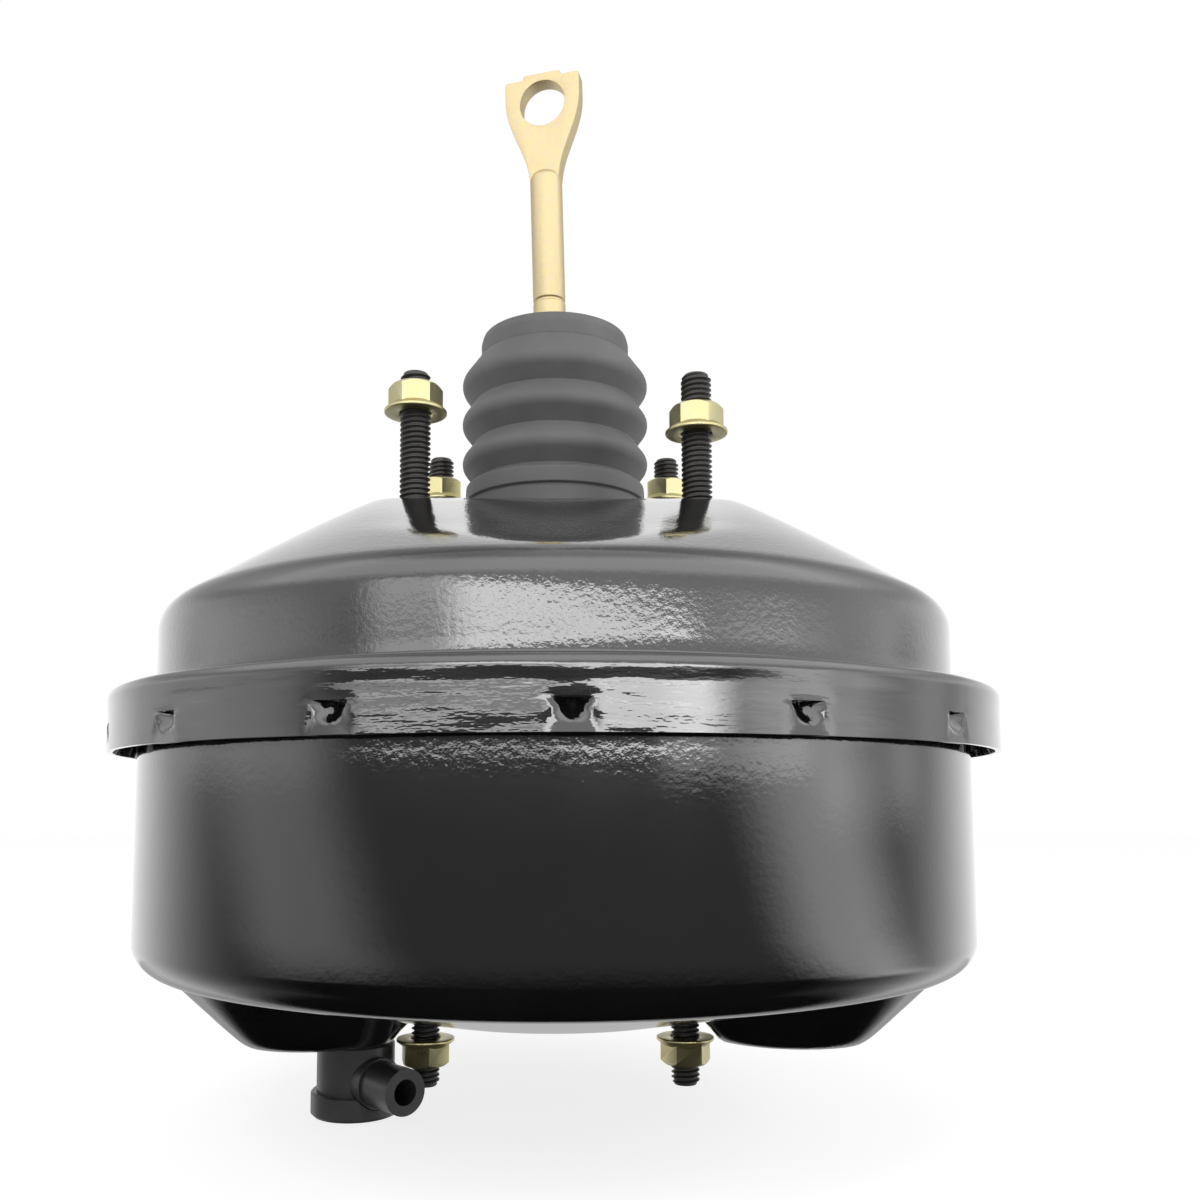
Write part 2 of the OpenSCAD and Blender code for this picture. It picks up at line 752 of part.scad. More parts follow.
module valve_spring() {
    color([0.6, 0.6, 0.62]) coil(retain_z + plate_t, washer_z - 0.4, valve_r + 3.2, 1.6, 4.5, 18, 6);
}

module air_valve() {
    lip = poppet_z - 0.02;
    key_low = key_z - 0.5;
    key_high = key_z + key_t + valve_stroke + 0.8;
    color([0.78, 0.78, 0.8]) difference() {
        turned([
            [0, stem_foot], [stem_r - 0.5, stem_foot], [stem_r, stem_foot + 0.5], [stem_r, valve_foot],
            [valve_r - 0.5, valve_foot], [valve_r, valve_foot + 0.5], [valve_r, valve_foot + 1.6],
            [valve_r - 1.3, valve_foot + 1.6], [valve_r - 1.3, valve_foot + 3.4], [valve_r, valve_foot + 3.4],
            [valve_r, key_low], [valve_r - 2.5, key_low], [valve_r - 2.5, key_high], [valve_r, key_high],
            [valve_r, ball_z + 4], [valve_r + 1.5, ball_z + 7], [valve_r + 1.5, lip], [valve_r + 0.4, lip],
            [valve_r - 0.4, lip - 1.2], [ball_r + 0.9, lip - 1.2], [ball_r - 1.05, ball_z + 3.6],
            [0, ball_z + 3.6]
        ]);
        translate([0, 0, ball_z]) sphere(r = ball_r + gap);
    }
}

module air_valve_seal() {
    color([0.1, 0.1, 0.1]) translate([0, 0, valve_foot + 2.5]) rotate_extrude()
        translate([valve_r - 0.62, 0]) circle(r = 0.65, $fn = 32);
}

// Moves its children from the pushrod's own frame, ball at the origin and rod along +Z
module on_rod() {
    translate([0, 0, ball_z]) rotate([0, -lean, 0]) rotate([0, 0, -eye_turn]) children();
}

// Right side of the eye's paddle, from its shoulder down to the rod
function paddle_side() =
    let(wide = eye_hole + eye_rim, foot = rod_r - 0.1)
    concat(
        [[wide, rod_len + eye_hole + 1.2]],
        [for (i = [0:8]) [foot + (wide - foot) * pow(cos(90 * i / 8), 1.6), rod_len + 2.4 - 28 * i / 8]]
    );

module pushrod() {
    half = paddle_side();
    other = [for (p = reversed(half)) [-p.x, p.y]];
    top = half[0].y;
    tab = 6.1;
    slim = rod_r - 0.5;
    collar_z = washer_z - ball_z + 1.4;
    groove_z = boot_top - ball_z + 12.7;
    neck = ball_r - 2.3;
    end = rod_len - 24.4;
    color([0.8, 0.72, 0.45]) on_rod() difference() {
        union() {
            sphere(r = ball_r);
            turned([
                [0, 4], [neck, 4], [neck, 11], [rod_r, 15], [rod_r, collar_z], [rod_r + 1.3, collar_z],
                [rod_r + 1.3, collar_z + 1.6], [rod_r, collar_z + 2.4], [rod_r, groove_z],
                [slim, groove_z + 0.4], [slim, groove_z + 1], [rod_r, groove_z + 1.4],
                [rod_r, end - 0.8], [rod_r - 0.8, end], [0, end]
            ]);
            rotate([90, 0, 0]) linear_extrude(height = eye_t, center = true)
                polygon(concat(
                    [[tab, top + 1.6], [tab, top]], half, other, [[-tab, top], [-tab, top + 1.6]]
                ));
        }
        translate([0, 0, rod_len]) rotate([90, 0, 0]) cylinder(h = eye_t + 2, r = eye_hole, center = true);
    }
}

module spring_washer() {
    low = washer_z - ball_z;
    color([0.7, 0.7, 0.72]) on_rod() ring(rod_r + 0.02, tube_bore - 4.5, low, low + 1.4);
}

module at_check() {
    translate([-cv_x, 0, 0]) rotate([0, 0, hose_turn]) children();
}

module check_body() {
    top = cv_top - gap;
    barb = lobe_z + sheet + 2 + gap;
    bore = cv_stem / 2;
    color([0.08, 0.08, 0.09]) at_check() difference() {
        union() {
            turned([
                [0, barb + 4.6], [cv_stem - 0.7, barb + 4.6], [cv_stem + 1.3, barb], [cv_stem, barb],
                [cv_stem, top], [cv_r - 0.6, top], [cv_r, top - 0.6], [cv_r, cap_ledge], [0, cap_ledge]
            ]);
            translate([0, 0, hose_z]) rotate([0, 90, 0]) cylinder(h = cv_r + 2.4, r = hose_r + 0.8);
            translate([0, 0, hose_z]) rotate([0, 90, 0]) cylinder(h = hose_reach, r = hose_r);
        }
        turned([
            [0, barb + 5], [bore, barb + 5], [bore, seat_low], [cv_stem, seat_low], [cv_stem, top - 3.4],
            [cv_chamber, top - 3.4], [cv_chamber, cv_bottom], [0, cv_bottom]
        ]);
        translate([cv_chamber - 2, 0, hose_z]) rotate([0, 90, 0]) cylinder(h = hose_reach, r = hose_bore);
    }
}

module check_cap() {
    outer = cv_r + cv_wall;
    color([0.08, 0.08, 0.09]) at_check() difference() {
        turned([
            [0, cv_bottom], [outer - 1, cv_bottom], [outer, cv_bottom + 1], [outer, cap_top - 0.5],
            [outer - 0.5, cap_top], [cv_r + 0.02, cap_top], [cv_r + 0.02, cap_ledge], [cv_chamber, cap_ledge],
            [cv_chamber, cap_floor], [0, cap_floor]
        ]);
        translate([0, 0, hose_z]) rotate([0, 90, 0]) cylinder(h = cv_r + 8, r = hose_r + 1.1);
    }
}

module check_disc() {
    top = seat_low - 0.02;
    color([0.12, 0.12, 0.12]) at_check() turned([
        [0, top], [cv_stem + 1.5, top], [cv_stem + 1.5, top - 1.4], [cv_stem - 1.05, top - disc_h],
        [cv_stem - 1.05, top - disc_h - 1.2], [0, top - disc_h - 1.2]
    ]);
}

module check_spring() {
    color([0.6, 0.6, 0.62]) at_check() coil(cap_floor, seat_low - disc_h, cv_stem + 0.05, 0.8, 5.5, 16, 6);
}

front_shell();
rear_shell();
housing_divider();
front_stiffener();
rear_stiffener();
firewall_studs();
firewall_nuts();
front_studs();
front_nuts();
front_seal();
neck_bearing();
divider_bearing();
grommet();
boot();
return_spring();
primary_diaphragm();
secondary_diaphragm();
power_piston();
primary_plate();
secondary_plate();
plate_retainer();
reaction_disc();
reaction_pin();
reaction_retainer();
output_rod();
valve_key();
poppet();
poppet_retainer();
poppet_spring();
air_filter();
valve_spring();
air_valve();
air_valve_seal();
pushrod();
spring_washer();
check_body();
check_cap();
check_disc();
check_spring();
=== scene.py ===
# %% [markdown]
# # A brake booster, dressed for a studio picture
# A brake booster is a steel drum that multiplies the push of a car's brake pedal. The solids of this
# one come ready made from a CAD model. They are exact, but plain: their sheet metal has hard bends,
# their threads are rings and they have no finish. This lesson loads them as a frame, models what
# shows again with soft bends, real threads and dents, and gives every piece its paint, zinc or rubber.
#
# Everything is in metres. The origin is in the middle of the pedal-side mounting face, +Z points to
# the pedal, and the viewer of the main picture stands on the -Y side.

import math

import bpy
import bmesh
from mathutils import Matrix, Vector, noise as field


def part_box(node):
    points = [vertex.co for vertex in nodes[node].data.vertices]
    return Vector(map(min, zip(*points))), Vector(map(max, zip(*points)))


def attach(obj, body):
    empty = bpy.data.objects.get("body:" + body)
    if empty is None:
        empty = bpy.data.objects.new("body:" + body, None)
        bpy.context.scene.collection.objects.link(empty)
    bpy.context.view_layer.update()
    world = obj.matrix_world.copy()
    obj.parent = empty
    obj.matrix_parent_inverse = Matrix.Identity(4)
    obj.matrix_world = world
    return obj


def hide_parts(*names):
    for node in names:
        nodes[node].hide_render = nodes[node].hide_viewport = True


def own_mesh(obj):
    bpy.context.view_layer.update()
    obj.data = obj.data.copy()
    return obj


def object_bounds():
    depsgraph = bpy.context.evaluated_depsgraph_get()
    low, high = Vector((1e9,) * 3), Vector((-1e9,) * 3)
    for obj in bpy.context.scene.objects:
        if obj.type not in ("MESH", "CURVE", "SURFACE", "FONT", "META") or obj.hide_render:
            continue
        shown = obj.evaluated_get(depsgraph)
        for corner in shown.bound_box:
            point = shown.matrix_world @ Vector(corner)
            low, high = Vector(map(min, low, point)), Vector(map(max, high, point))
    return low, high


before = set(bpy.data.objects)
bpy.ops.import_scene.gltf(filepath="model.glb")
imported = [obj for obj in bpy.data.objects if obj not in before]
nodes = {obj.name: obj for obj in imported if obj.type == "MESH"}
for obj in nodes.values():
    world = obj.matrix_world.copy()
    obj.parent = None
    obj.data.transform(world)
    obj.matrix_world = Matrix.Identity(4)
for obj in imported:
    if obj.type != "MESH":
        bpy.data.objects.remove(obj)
cad_box = [list(corner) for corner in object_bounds()]
MM = 0.001


def in_mm(corners, digits=1):
    """Corners in metres as rounded millimetres, to be printed."""
    return [[round(v / MM, digits) for v in corner] for corner in corners]


print("CAD box in mm:", in_mm(cad_box))

# %% [markdown]
# ## Units and small helpers
# The drawing of a pressing is read in millimetres, so points are typed in millimetres and turned into
# metres as they are used. A few short helpers keep each modelling step to one line: start a piece,
# select in edit mode by place, and finish.


# %% Helpers for selecting and editing

def nothing_selected():
    """Leaves edit mode and deselects every object."""
    if bpy.context.object and bpy.context.object.mode != "OBJECT":
        bpy.ops.object.mode_set(mode="OBJECT")
    bpy.ops.object.select_all(action="DESELECT")


def pick(piece):
    """Makes one object the selected and active one."""
    nothing_selected()
    piece.select_set(True)
    bpy.context.view_layer.objects.active = piece


def edit(piece, mode="VERT"):
    """Opens a piece in edit mode with nothing selected and returns its editable mesh."""
    pick(piece)
    bpy.ops.object.mode_set(mode="EDIT")
    bpy.ops.mesh.select_mode(type=mode)
    bpy.ops.mesh.select_all(action="DESELECT")
    return bmesh.from_edit_mesh(piece.data)


def choose_edges(piece, test):
    """Selects the edges whose middle and direction pass a test, and counts them."""
    mesh = bmesh.from_edit_mesh(piece.data)
    count = 0
    for edge in mesh.edges:
        start, end = (vertex.co for vertex in edge.verts)
        if test((start + end) / 2, end - start):
            edge.select_set(True)
            count += 1
    mesh.select_flush_mode()
    bmesh.update_edit_mesh(piece.data)
    return count


def edit_all(piece):
    """Opens a piece in edit mode with everything selected."""
    edit(piece)
    bpy.ops.mesh.select_all(action="SELECT")


def object_mode():
    """Goes back to object mode."""
    bpy.ops.object.mode_set(mode="OBJECT")


def face_out(piece):
    """Turns all faces of a piece outwards."""
    edit_all(piece)
    bpy.ops.mesh.normals_make_consistent(inside=False)
    object_mode()


def name_it(name):
    """Names the active object and its mesh, and returns it."""
    piece = bpy.context.object
    piece.name = name
    piece.data.name = name
    return piece


def settle(piece, angle=35):
    """Applies a piece's place, then shades it smooth where it bends less than the angle."""
    pick(piece)
    bpy.ops.object.transform_apply(location=True, rotation=True, scale=True)
    bpy.ops.object.shade_smooth_by_angle(angle=math.radians(angle))
    return piece


def apply_modifier(piece, kind, **values):
    """Adds a modifier, sets it and applies it."""
    pick(piece)
    modifier = piece.modifiers.new(kind.title(), kind)
    for key, value in values.items():
        setattr(modifier, key, value)
    bpy.ops.object.modifier_apply(modifier=modifier.name)


def join(name, pieces):
    """Joins pieces into the first one."""
    pick(pieces[0])
    for piece in pieces[1:]:
        piece.select_set(True)
    bpy.ops.object.join()
    return name_it(name)


def copy_of(piece, name):
    """Copies a piece with its own mesh."""
    pick(piece)
    bpy.ops.object.duplicate(linked=False)
    return name_it(name)


# %% [markdown]
# ## The camera
# The picture was taken from below the mounting face, close enough that the near rims bow upwards.
# The place, the tilt and the focal length were found by lining up the studs, the two rims and the
# eye. The small shift only centres the frame as the photograph does.

# %% Camera
photo_side, focal_length, middle_x, middle_y = 1200, 1129.0, 565.70, 719.96
camera_data = bpy.data.cameras.new("camera")
camera = bpy.data.objects.new("camera", camera_data)
bpy.context.scene.collection.objects.link(camera)
camera.location = (-0.00331, -0.37974, -0.09104)
camera.rotation_euler = (math.radians(94.347), math.radians(0.1), math.radians(-1.02))
camera_data.sensor_width = 36
camera_data.lens = focal_length / photo_side * 36
camera_data.shift_x = (photo_side / 2 - middle_x) / photo_side
camera_data.shift_y = (middle_y - photo_side / 2) / photo_side
camera_data.clip_start = 0.01
bpy.context.scene.camera = camera
bpy.context.scene.view_settings.view_transform = "Standard"
print("camera lens in mm:", round(camera_data.lens, 2))

# %% [markdown]
# ## The studio
# Black gloss paint has hardly any colour of its own: what is seen on it is the room. So the room
# matters more than the lamps. The world is a plain soft light for matt surfaces and plain white for
# the camera. For reflections it is a studio: white behind the object, a dimmer room behind the
# photographer, one wide softbox above the camera and one at each side.

# %% A panel of light as a soft-edged window of angles
world = bpy.data.worlds.new("studio")
bpy.context.scene.world = world
world.use_nodes = True
sky = world.node_tree
sky.nodes.clear()


def wire(tree, output, socket):
    """Links an output to a socket, or sets the socket where a number is given."""
    if isinstance(output, (int, float)):
        socket.default_value = output
    else:
        tree.links.new(output, socket)


def math_node(tree, kind, first, second=0.0, third=0.0, clamp=False):
    """A Math node in any tree: numbers or other nodes' outputs go in."""
    node = tree.nodes.new("ShaderNodeMath")
    node.operation = kind
    node.use_clamp = clamp
    for socket, value in zip(node.inputs, (first, second, third)):
        wire(tree, value, socket)
    return node.outputs[0]


def sky_math(kind, *values):
    """A Math node in the world."""
    return math_node(sky, kind, *values)


def times(*values):
    """The product of two or three values in the world."""
    product = sky_math("MULTIPLY", *values[:2])
    return times(product, *values[2:]) if len(values) > 2 else product


def sky_step(value, low, high):
    """Rises smoothly from 0 at low to 1 at high."""
    node = sky.nodes.new("ShaderNodeMapRange")
    node.interpolation_type = "SMOOTHSTEP"
    sky.links.new(value, node.inputs["Value"])
    node.inputs["From Min"].default_value = low
    node.inputs["From Max"].default_value = high
    return node.outputs["Result"]


def sky_window(value, low, high, soft):
    """1 between two values, fading out softly on both sides."""
    return times(sky_step(value, low - soft, low + soft), sky_step(value, high + soft, high - soft))


direction = sky.nodes.new("ShaderNodeTexCoord")
split = sky.nodes.new("ShaderNodeSeparateXYZ")
sky.links.new(direction.outputs["Generated"], split.inputs[0])
east, north, up = split.outputs
# Turn from the viewer's side in degrees, positive to the right, and height over the horizon.
turn = times(sky_math("ARCTAN2", east, times(north, -1.0)), 180 / math.pi)
side_turn = sky_math("ABSOLUTE", turn)
height = times(sky_math("ARCSINE", up), 180 / math.pi)


# %% Room and panels
def add_light(room, window, strength):
    """Adds a window of light to the room."""
    return sky_math("MULTIPLY_ADD", window, strength, room)


# The room is a white cyclorama behind the object, and dimmer round the camera and at the flanks.
front_side = sky_step(side_turn, 135, 80)
room = sky_math("SUBTRACT", 1.0, times(front_side, 0.83))
room = sky_math("SUBTRACT", room, times(sky_window(side_turn, 95, 160, 12), 0.42, sky_step(height, 10, 25)))
room = add_light(room, times(sky_step(side_turn, 150, 170), sky_window(height, 26, 60, 8)), 0.12)
# Above the camera it grows lighter, most so to the right.
to_right = sky_math("MULTIPLY_ADD", sky_step(turn, -60, 0), 0.36, 0.7)
room = add_light(room, times(sky_step(height, 5, 11), front_side), to_right)
room = add_light(room, times(sky_window(height, 24, 62, 8), front_side), 0.9)
# The key softbox is skewed: its right edge moves left as it rises.
skewed = sky_math("MULTIPLY_ADD", sky_math("MAXIMUM", sky_math("SUBTRACT", height, 9.0), 0.0), 11.0, turn)
key = times(sky_step(turn, -33, -19), sky_step(skewed, 41, 31), sky_window(height, 7.2, 14, 0.8))
room = add_light(room, key, 4.6)
leaning = sky_math("MULTIPLY_ADD", height, 1.4, turn)
panels = [
    # turn that it is measured in, from, to, soft edge, height from, to, soft edge, strength
    (turn, 3, 38, 6, 3.75, 7.2, 0.2, 5.4),
    (turn, -54, 3, 6, 3.75, 7.2, 0.2, 1.5),
    (turn, -48, 3, 6, 3.75, 5.1, 0.25, 1.6),
    (turn, -50, -24, 6, 8, 17, 2, 1.5),
    (turn, 26, 66, 5, 2.2, 8.5, 0.6, 1.1),
    (leaning, 52, 84, 12, -18, 9, 4, 1.35),
    (turn, 68, 104, 8, 0, 9, 2, 0.7),
    (turn, -112, -58, 9, 2, 9, 1.5, 0.4),
    (leaning, -90, -56, 12, -12, 9, 8, 0.6),
]
for measured, left, right, soft, low, high, blur, strength in panels:
    window = times(sky_window(measured, left, right, soft), sky_window(height, low, high, blur))
    room = add_light(room, window, strength)
# Low down there is shade: right under the object, in front of it, and in part behind it.
low_front = times(sky_step(height, -9, -15), sky_step(side_turn, 92, 64))
low_back = times(sky_step(height, -10.5, -13), sky_step(side_turn, 130, 150), 0.52)
shade = sky_math("MAXIMUM", sky_math("MAXIMUM", sky_step(height, -32, -50), low_back), low_front)
room = times(room, sky_math("SUBTRACT", 1.0, shade))
print("studio panels:", len(panels) + 1)

# %% The world for mirrored rays, for the camera and for matt surfaces
mirrored, white, fill = (sky.nodes.new("ShaderNodeBackground") for i in range(3))
for background, strength in ((mirrored, room), (white, 1.0), (fill, 0.72)):
    background.inputs["Color"].default_value = (1, 1, 1, 1)
    wire(sky, strength, background.inputs["Strength"])
ray = sky.nodes.new("ShaderNodeLightPath")
reflect = sky.nodes.new("ShaderNodeMixShader")
wire(sky, sky_math("MAXIMUM", ray.outputs["Is Glossy Ray"], ray.outputs["Is Transmission Ray"]), reflect.inputs[0])
sky.links.new(fill.outputs[0], reflect.inputs[1])
sky.links.new(mirrored.outputs[0], reflect.inputs[2])
seen = sky.nodes.new("ShaderNodeMixShader")
sky.links.new(ray.outputs["Is Camera Ray"], seen.inputs[0])
sky.links.new(reflect.outputs[0], seen.inputs[1])
sky.links.new(white.outputs[0], seen.inputs[2])
out = sky.nodes.new("ShaderNodeOutputWorld")
sky.links.new(seen.outputs[0], out.inputs["Surface"])
print("nodes in the world:", len(sky.nodes))

# %% [markdown]
# ## Lamps
# Two large, weak lamps give matt surfaces such as the boot a lit side and a shaded one. They are kept
# out of reflections, where the panels above already stand for them.

# %% Lamps
lamps = (("key_lamp", (-0.55, -0.9, 0.75), 10.0, 0.7), ("side_lamp", (0.95, -0.35, 0.35), 7.0, 0.6))
for name, place, power, size in lamps:
    lamp_data = bpy.data.lights.new(name, "AREA")
    lamp_data.energy = power
    lamp_data.size = size
    lamp = bpy.data.objects.new(name, lamp_data)
    bpy.context.scene.collection.objects.link(lamp)
    lamp.location = place
    lamp.rotation_euler = (Vector((0, 0, -0.02)) - Vector(place)).to_track_quat("-Z", "Y").to_euler()
    lamp.visible_glossy = False

# %% [markdown]
# ## The floor
# The booster stands on its check valve's cap here, as it does in the picture, so the floor lies just
# below it. The camera sees white with a faint shadow. The gloss paint doesn't mirror the floor, since
# the studio's own shade low down stands for it there. From below the floor can be looked through.

# %% Floor
nothing_selected()
floor_gap = 0.5 * MM
bpy.ops.mesh.primitive_circle_add(vertices=96, radius=4, fill_type="NGON", location=(0, 0, cad_box[0][2] - floor_gap))
floor = name_it("floor")
floor_paint = bpy.data.materials.new("floor_paint")
floor_paint.use_nodes = True
tree = floor_paint.node_tree
tree.nodes.clear()
matt = tree.nodes.new("ShaderNodeBsdfDiffuse")
matt.inputs["Color"].default_value = (0.9, 0.9, 0.9, 1)
glow = tree.nodes.new("ShaderNodeEmission")
glow.inputs["Strength"].default_value = 1.12
shown = tree.nodes.new("ShaderNodeMixShader")
shown.inputs[0].default_value = 0.72
clear = tree.nodes.new("ShaderNodeBsdfTransparent")
below = tree.nodes.new("ShaderNodeNewGeometry")
from_below = tree.nodes.new("ShaderNodeMixShader")
end = tree.nodes.new("ShaderNodeOutputMaterial")
link = tree.links.new
link(matt.outputs[0], shown.inputs[1])
link(glow.outputs[0], shown.inputs[2])
link(below.outputs["Backfacing"], from_below.inputs[0])
link(shown.outputs[0], from_below.inputs[1])
link(clear.outputs[0], from_below.inputs[2])
link(from_below.outputs[0], end.inputs["Surface"])
floor.data.materials.append(floor_paint)
floor.visible_glossy = False

# %% [markdown]
# ## Paints and finishes
# No surface of a used or new part is one flat colour. Five effects are shared by the finishes, so each
# is a node group with named sockets: the skin of sprayed paint, a cloudy change of colour, fine lines
# from the machine, streaks in wiped paint, and grains for rubber and castings. Each finish below sets
# its own sizes on them.

# %% Building a node group
def new_group(name, numbers, colours=(), outputs=("Height",)):
    """Starts a shader node group with named inputs and returns it with its two end nodes."""
    group = bpy.data.node_groups.new(name, "ShaderNodeTree")
    for label, value in numbers:
        group.interface.new_socket(label, in_out="INPUT", socket_type="NodeSocketFloat").default_value = value
    for label, value in colours:
        group.interface.new_socket(label, in_out="INPUT", socket_type="NodeSocketColor").default_value = value
    for label in outputs:
        kind = "NodeSocketColor" if label == "Color" else "NodeSocketFloat"
        group.interface.new_socket(label, in_out="OUTPUT", socket_type=kind)
    return group, group.nodes.new("NodeGroupInput"), group.nodes.new("NodeGroupOutput")


def noise(tree, scale, detail=3.0, roughness=0.5, stretch=None):
    """Noise on the piece's own coordinates, in cells per metre, stretched along an axis if asked."""
    coordinates = tree.nodes.new("ShaderNodeTexCoord").outputs["Object"]
    if stretch:
        mapping = tree.nodes.new("ShaderNodeMapping")
        mapping.inputs["Scale"].default_value = stretch
        tree.links.new(coordinates, mapping.inputs["Vector"])
        coordinates = mapping.outputs["Vector"]
    node = tree.nodes.new("ShaderNodeTexNoise")
    tree.links.new(coordinates, node.inputs["Vector"])
    wire(tree, scale, node.inputs["Scale"])
    node.inputs["Detail"].default_value = detail
    node.inputs["Roughness"].default_value = roughness
    return node.outputs["Fac"]


# %% Group: the skin of sprayed paint
peel, start, end = new_group("orange_peel", [("Scale", 420.0), ("Fine", 0.35)])
coarse = noise(peel, start.outputs["Scale"], detail=1.5)
fine = noise(peel, math_node(peel, "MULTIPLY", start.outputs["Scale"], 3.7), detail=1.0)
total = math_node(peel, "ADD", coarse, math_node(peel, "MULTIPLY", fine, start.outputs["Fine"]))
peel.links.new(total, end.inputs["Height"])

# %% Group: clouds of colour and of gloss
clouds, start, end = new_group(
    "clouds",
    [("Scale", 30.0), ("Amount", 0.5), ("Roughness", 0.4), ("Roughness Spread", 0.1)],
    [("Color A", (0.5, 0.5, 0.5, 1)), ("Color B", (0.4, 0.4, 0.4, 1))],
    ("Color", "Roughness"),
)
cloud = noise(clouds, start.outputs["Scale"], detail=5.0, roughness=0.6)
ramp = clouds.nodes.new("ShaderNodeMapRange")
ramp.interpolation_type = "SMOOTHSTEP"
ramp.inputs["From Min"].default_value = 0.32
ramp.inputs["From Max"].default_value = 0.68
clouds.links.new(cloud, ramp.inputs["Value"])
blend = clouds.nodes.new("ShaderNodeMix")
blend.data_type = "RGBA"
clouds.links.new(math_node(clouds, "MULTIPLY", ramp.outputs["Result"], start.outputs["Amount"]), blend.inputs[0])
clouds.links.new(start.outputs["Color A"], blend.inputs[6])
clouds.links.new(start.outputs["Color B"], blend.inputs[7])
clouds.links.new(blend.outputs[2], end.inputs["Color"])
offset = math_node(clouds, "MULTIPLY", math_node(clouds, "SUBTRACT", cloud, 0.5), start.outputs["Roughness Spread"])
clouds.links.new(math_node(clouds, "ADD", offset, start.outputs["Roughness"], clamp=True), end.inputs["Roughness"])


# %% Groups: turned or brushed lines, and streaks in wiped paint, level round the Z axis
def level_lines(name, scale, amount, ratio, wide_stretch, thin_stretch):
    """A height group of wide lines, with lines on top that are thinner by a ratio."""
    group, start, end = new_group(name, [("Scale", scale), ("Fine", amount)])
    wide = noise(group, start.outputs["Scale"], detail=2.0, stretch=wide_stretch)
    thin_scale = math_node(group, "MULTIPLY", start.outputs["Scale"], ratio)
    thin = noise(group, thin_scale, detail=1.0, stretch=thin_stretch)
    thin = math_node(group, "MULTIPLY", thin, start.outputs["Fine"])
    group.links.new(math_node(group, "ADD", wide, thin), end.inputs["Height"])
    return group


lines = level_lines("turned_lines", 900.0, 0.5, 3.1, (0.02, 0.02, 1.0), (0.04, 0.04, 1.0))
streaks = level_lines("streaks", 500.0, 0.4, 2.3, (0.12, 0.12, 1.0), (0.4, 0.4, 1.0))

# %% Group: grains of rubber, plastic and blasted metal
grain, start, end = new_group("grain", [("Scale", 1500.0), ("Pits", 0.4)])
bumps = noise(grain, start.outputs["Scale"], detail=2.0, roughness=0.6)
cells = grain.nodes.new("ShaderNodeTexVoronoi")
grain.links.new(grain.nodes.new("ShaderNodeTexCoord").outputs["Object"], cells.inputs["Vector"])
grain.links.new(math_node(grain, "MULTIPLY", start.outputs["Scale"], 0.6), cells.inputs["Scale"])
pits = math_node(grain, "MULTIPLY", cells.outputs["Distance"], start.outputs["Pits"])
grain.links.new(math_node(grain, "ADD", bumps, pits), end.inputs["Height"])

# %% [markdown]
# A finish is one Principled shader. The clouds group feeds its colour and roughness, and one of the
# height groups feeds a Bump node. The bump distance is the depth of the texture.

# %% One finish
finishes = {}


def finish(name, colour_a, colour_b, roughness, *, relief, values, depth=10, metallic=0.0, cloud=40.0, amount=0.6,
           spread=0.1, **sockets):
    """Makes a material with clouds of colour and a relief group as bump, its depth in microns."""
    material = bpy.data.materials.new(name)
    material.use_nodes = True
    tree = material.node_tree
    shader = tree.nodes["Principled BSDF"]
    shader.inputs["Metallic"].default_value = metallic
    tint, texture = tree.nodes.new("ShaderNodeGroup"), tree.nodes.new("ShaderNodeGroup")
    tint.node_tree, texture.node_tree = clouds, relief
    for label, value in (("Scale", cloud), ("Amount", amount), ("Roughness", roughness), ("Roughness Spread", spread),
                         ("Color A", (*colour_a, 1)), ("Color B", (*colour_b, 1))):
        tint.inputs[label].default_value = value
    for label, value in values.items():
        texture.inputs[label].default_value = value
    bump = tree.nodes.new("ShaderNodeBump")
    bump.inputs["Distance"].default_value = depth * 1e-6
    bump.inputs["Strength"].default_value = 1.0
    tree.links.new(tint.outputs["Color"], shader.inputs["Base Color"])
    tree.links.new(tint.outputs["Roughness"], shader.inputs["Roughness"])
    tree.links.new(texture.outputs["Height"], bump.inputs["Height"])
    for label in ("Normal", "Coat Normal"):
        tree.links.new(bump.outputs["Normal"], shader.inputs[label])
    for label, value in sockets.items():
        shader.inputs[label.replace("_", " ")].default_value = value
    finishes[name] = material


# %% Paints
gloss = {"Coat_Weight": 1.0, "Coat_Roughness": 0.02, "Coat_IOR": 1.85, "Specular_IOR_Level": 0.2}
finish("rear_paint", (0.003, 0.003, 0.0032), (0.006, 0.006, 0.0063), 0.15, amount=0.5, spread=0.05,
       relief=peel, depth=40, values={"Scale": 700.0, "Fine": 0.3}, **gloss)
finish("band_paint", (0.003, 0.003, 0.0032), (0.006, 0.006, 0.0063), 0.15, amount=0.5, spread=0.05,
       relief=streaks, depth=25, values={"Scale": 560.0, "Fine": 0.4}, **gloss)
finish("front_paint", (0.003, 0.003, 0.0032), (0.005, 0.005, 0.0052), 0.16, amount=0.5, spread=0.06,
       relief=peel, depth=16, values={"Scale": 620.0, "Fine": 0.3}, **gloss)

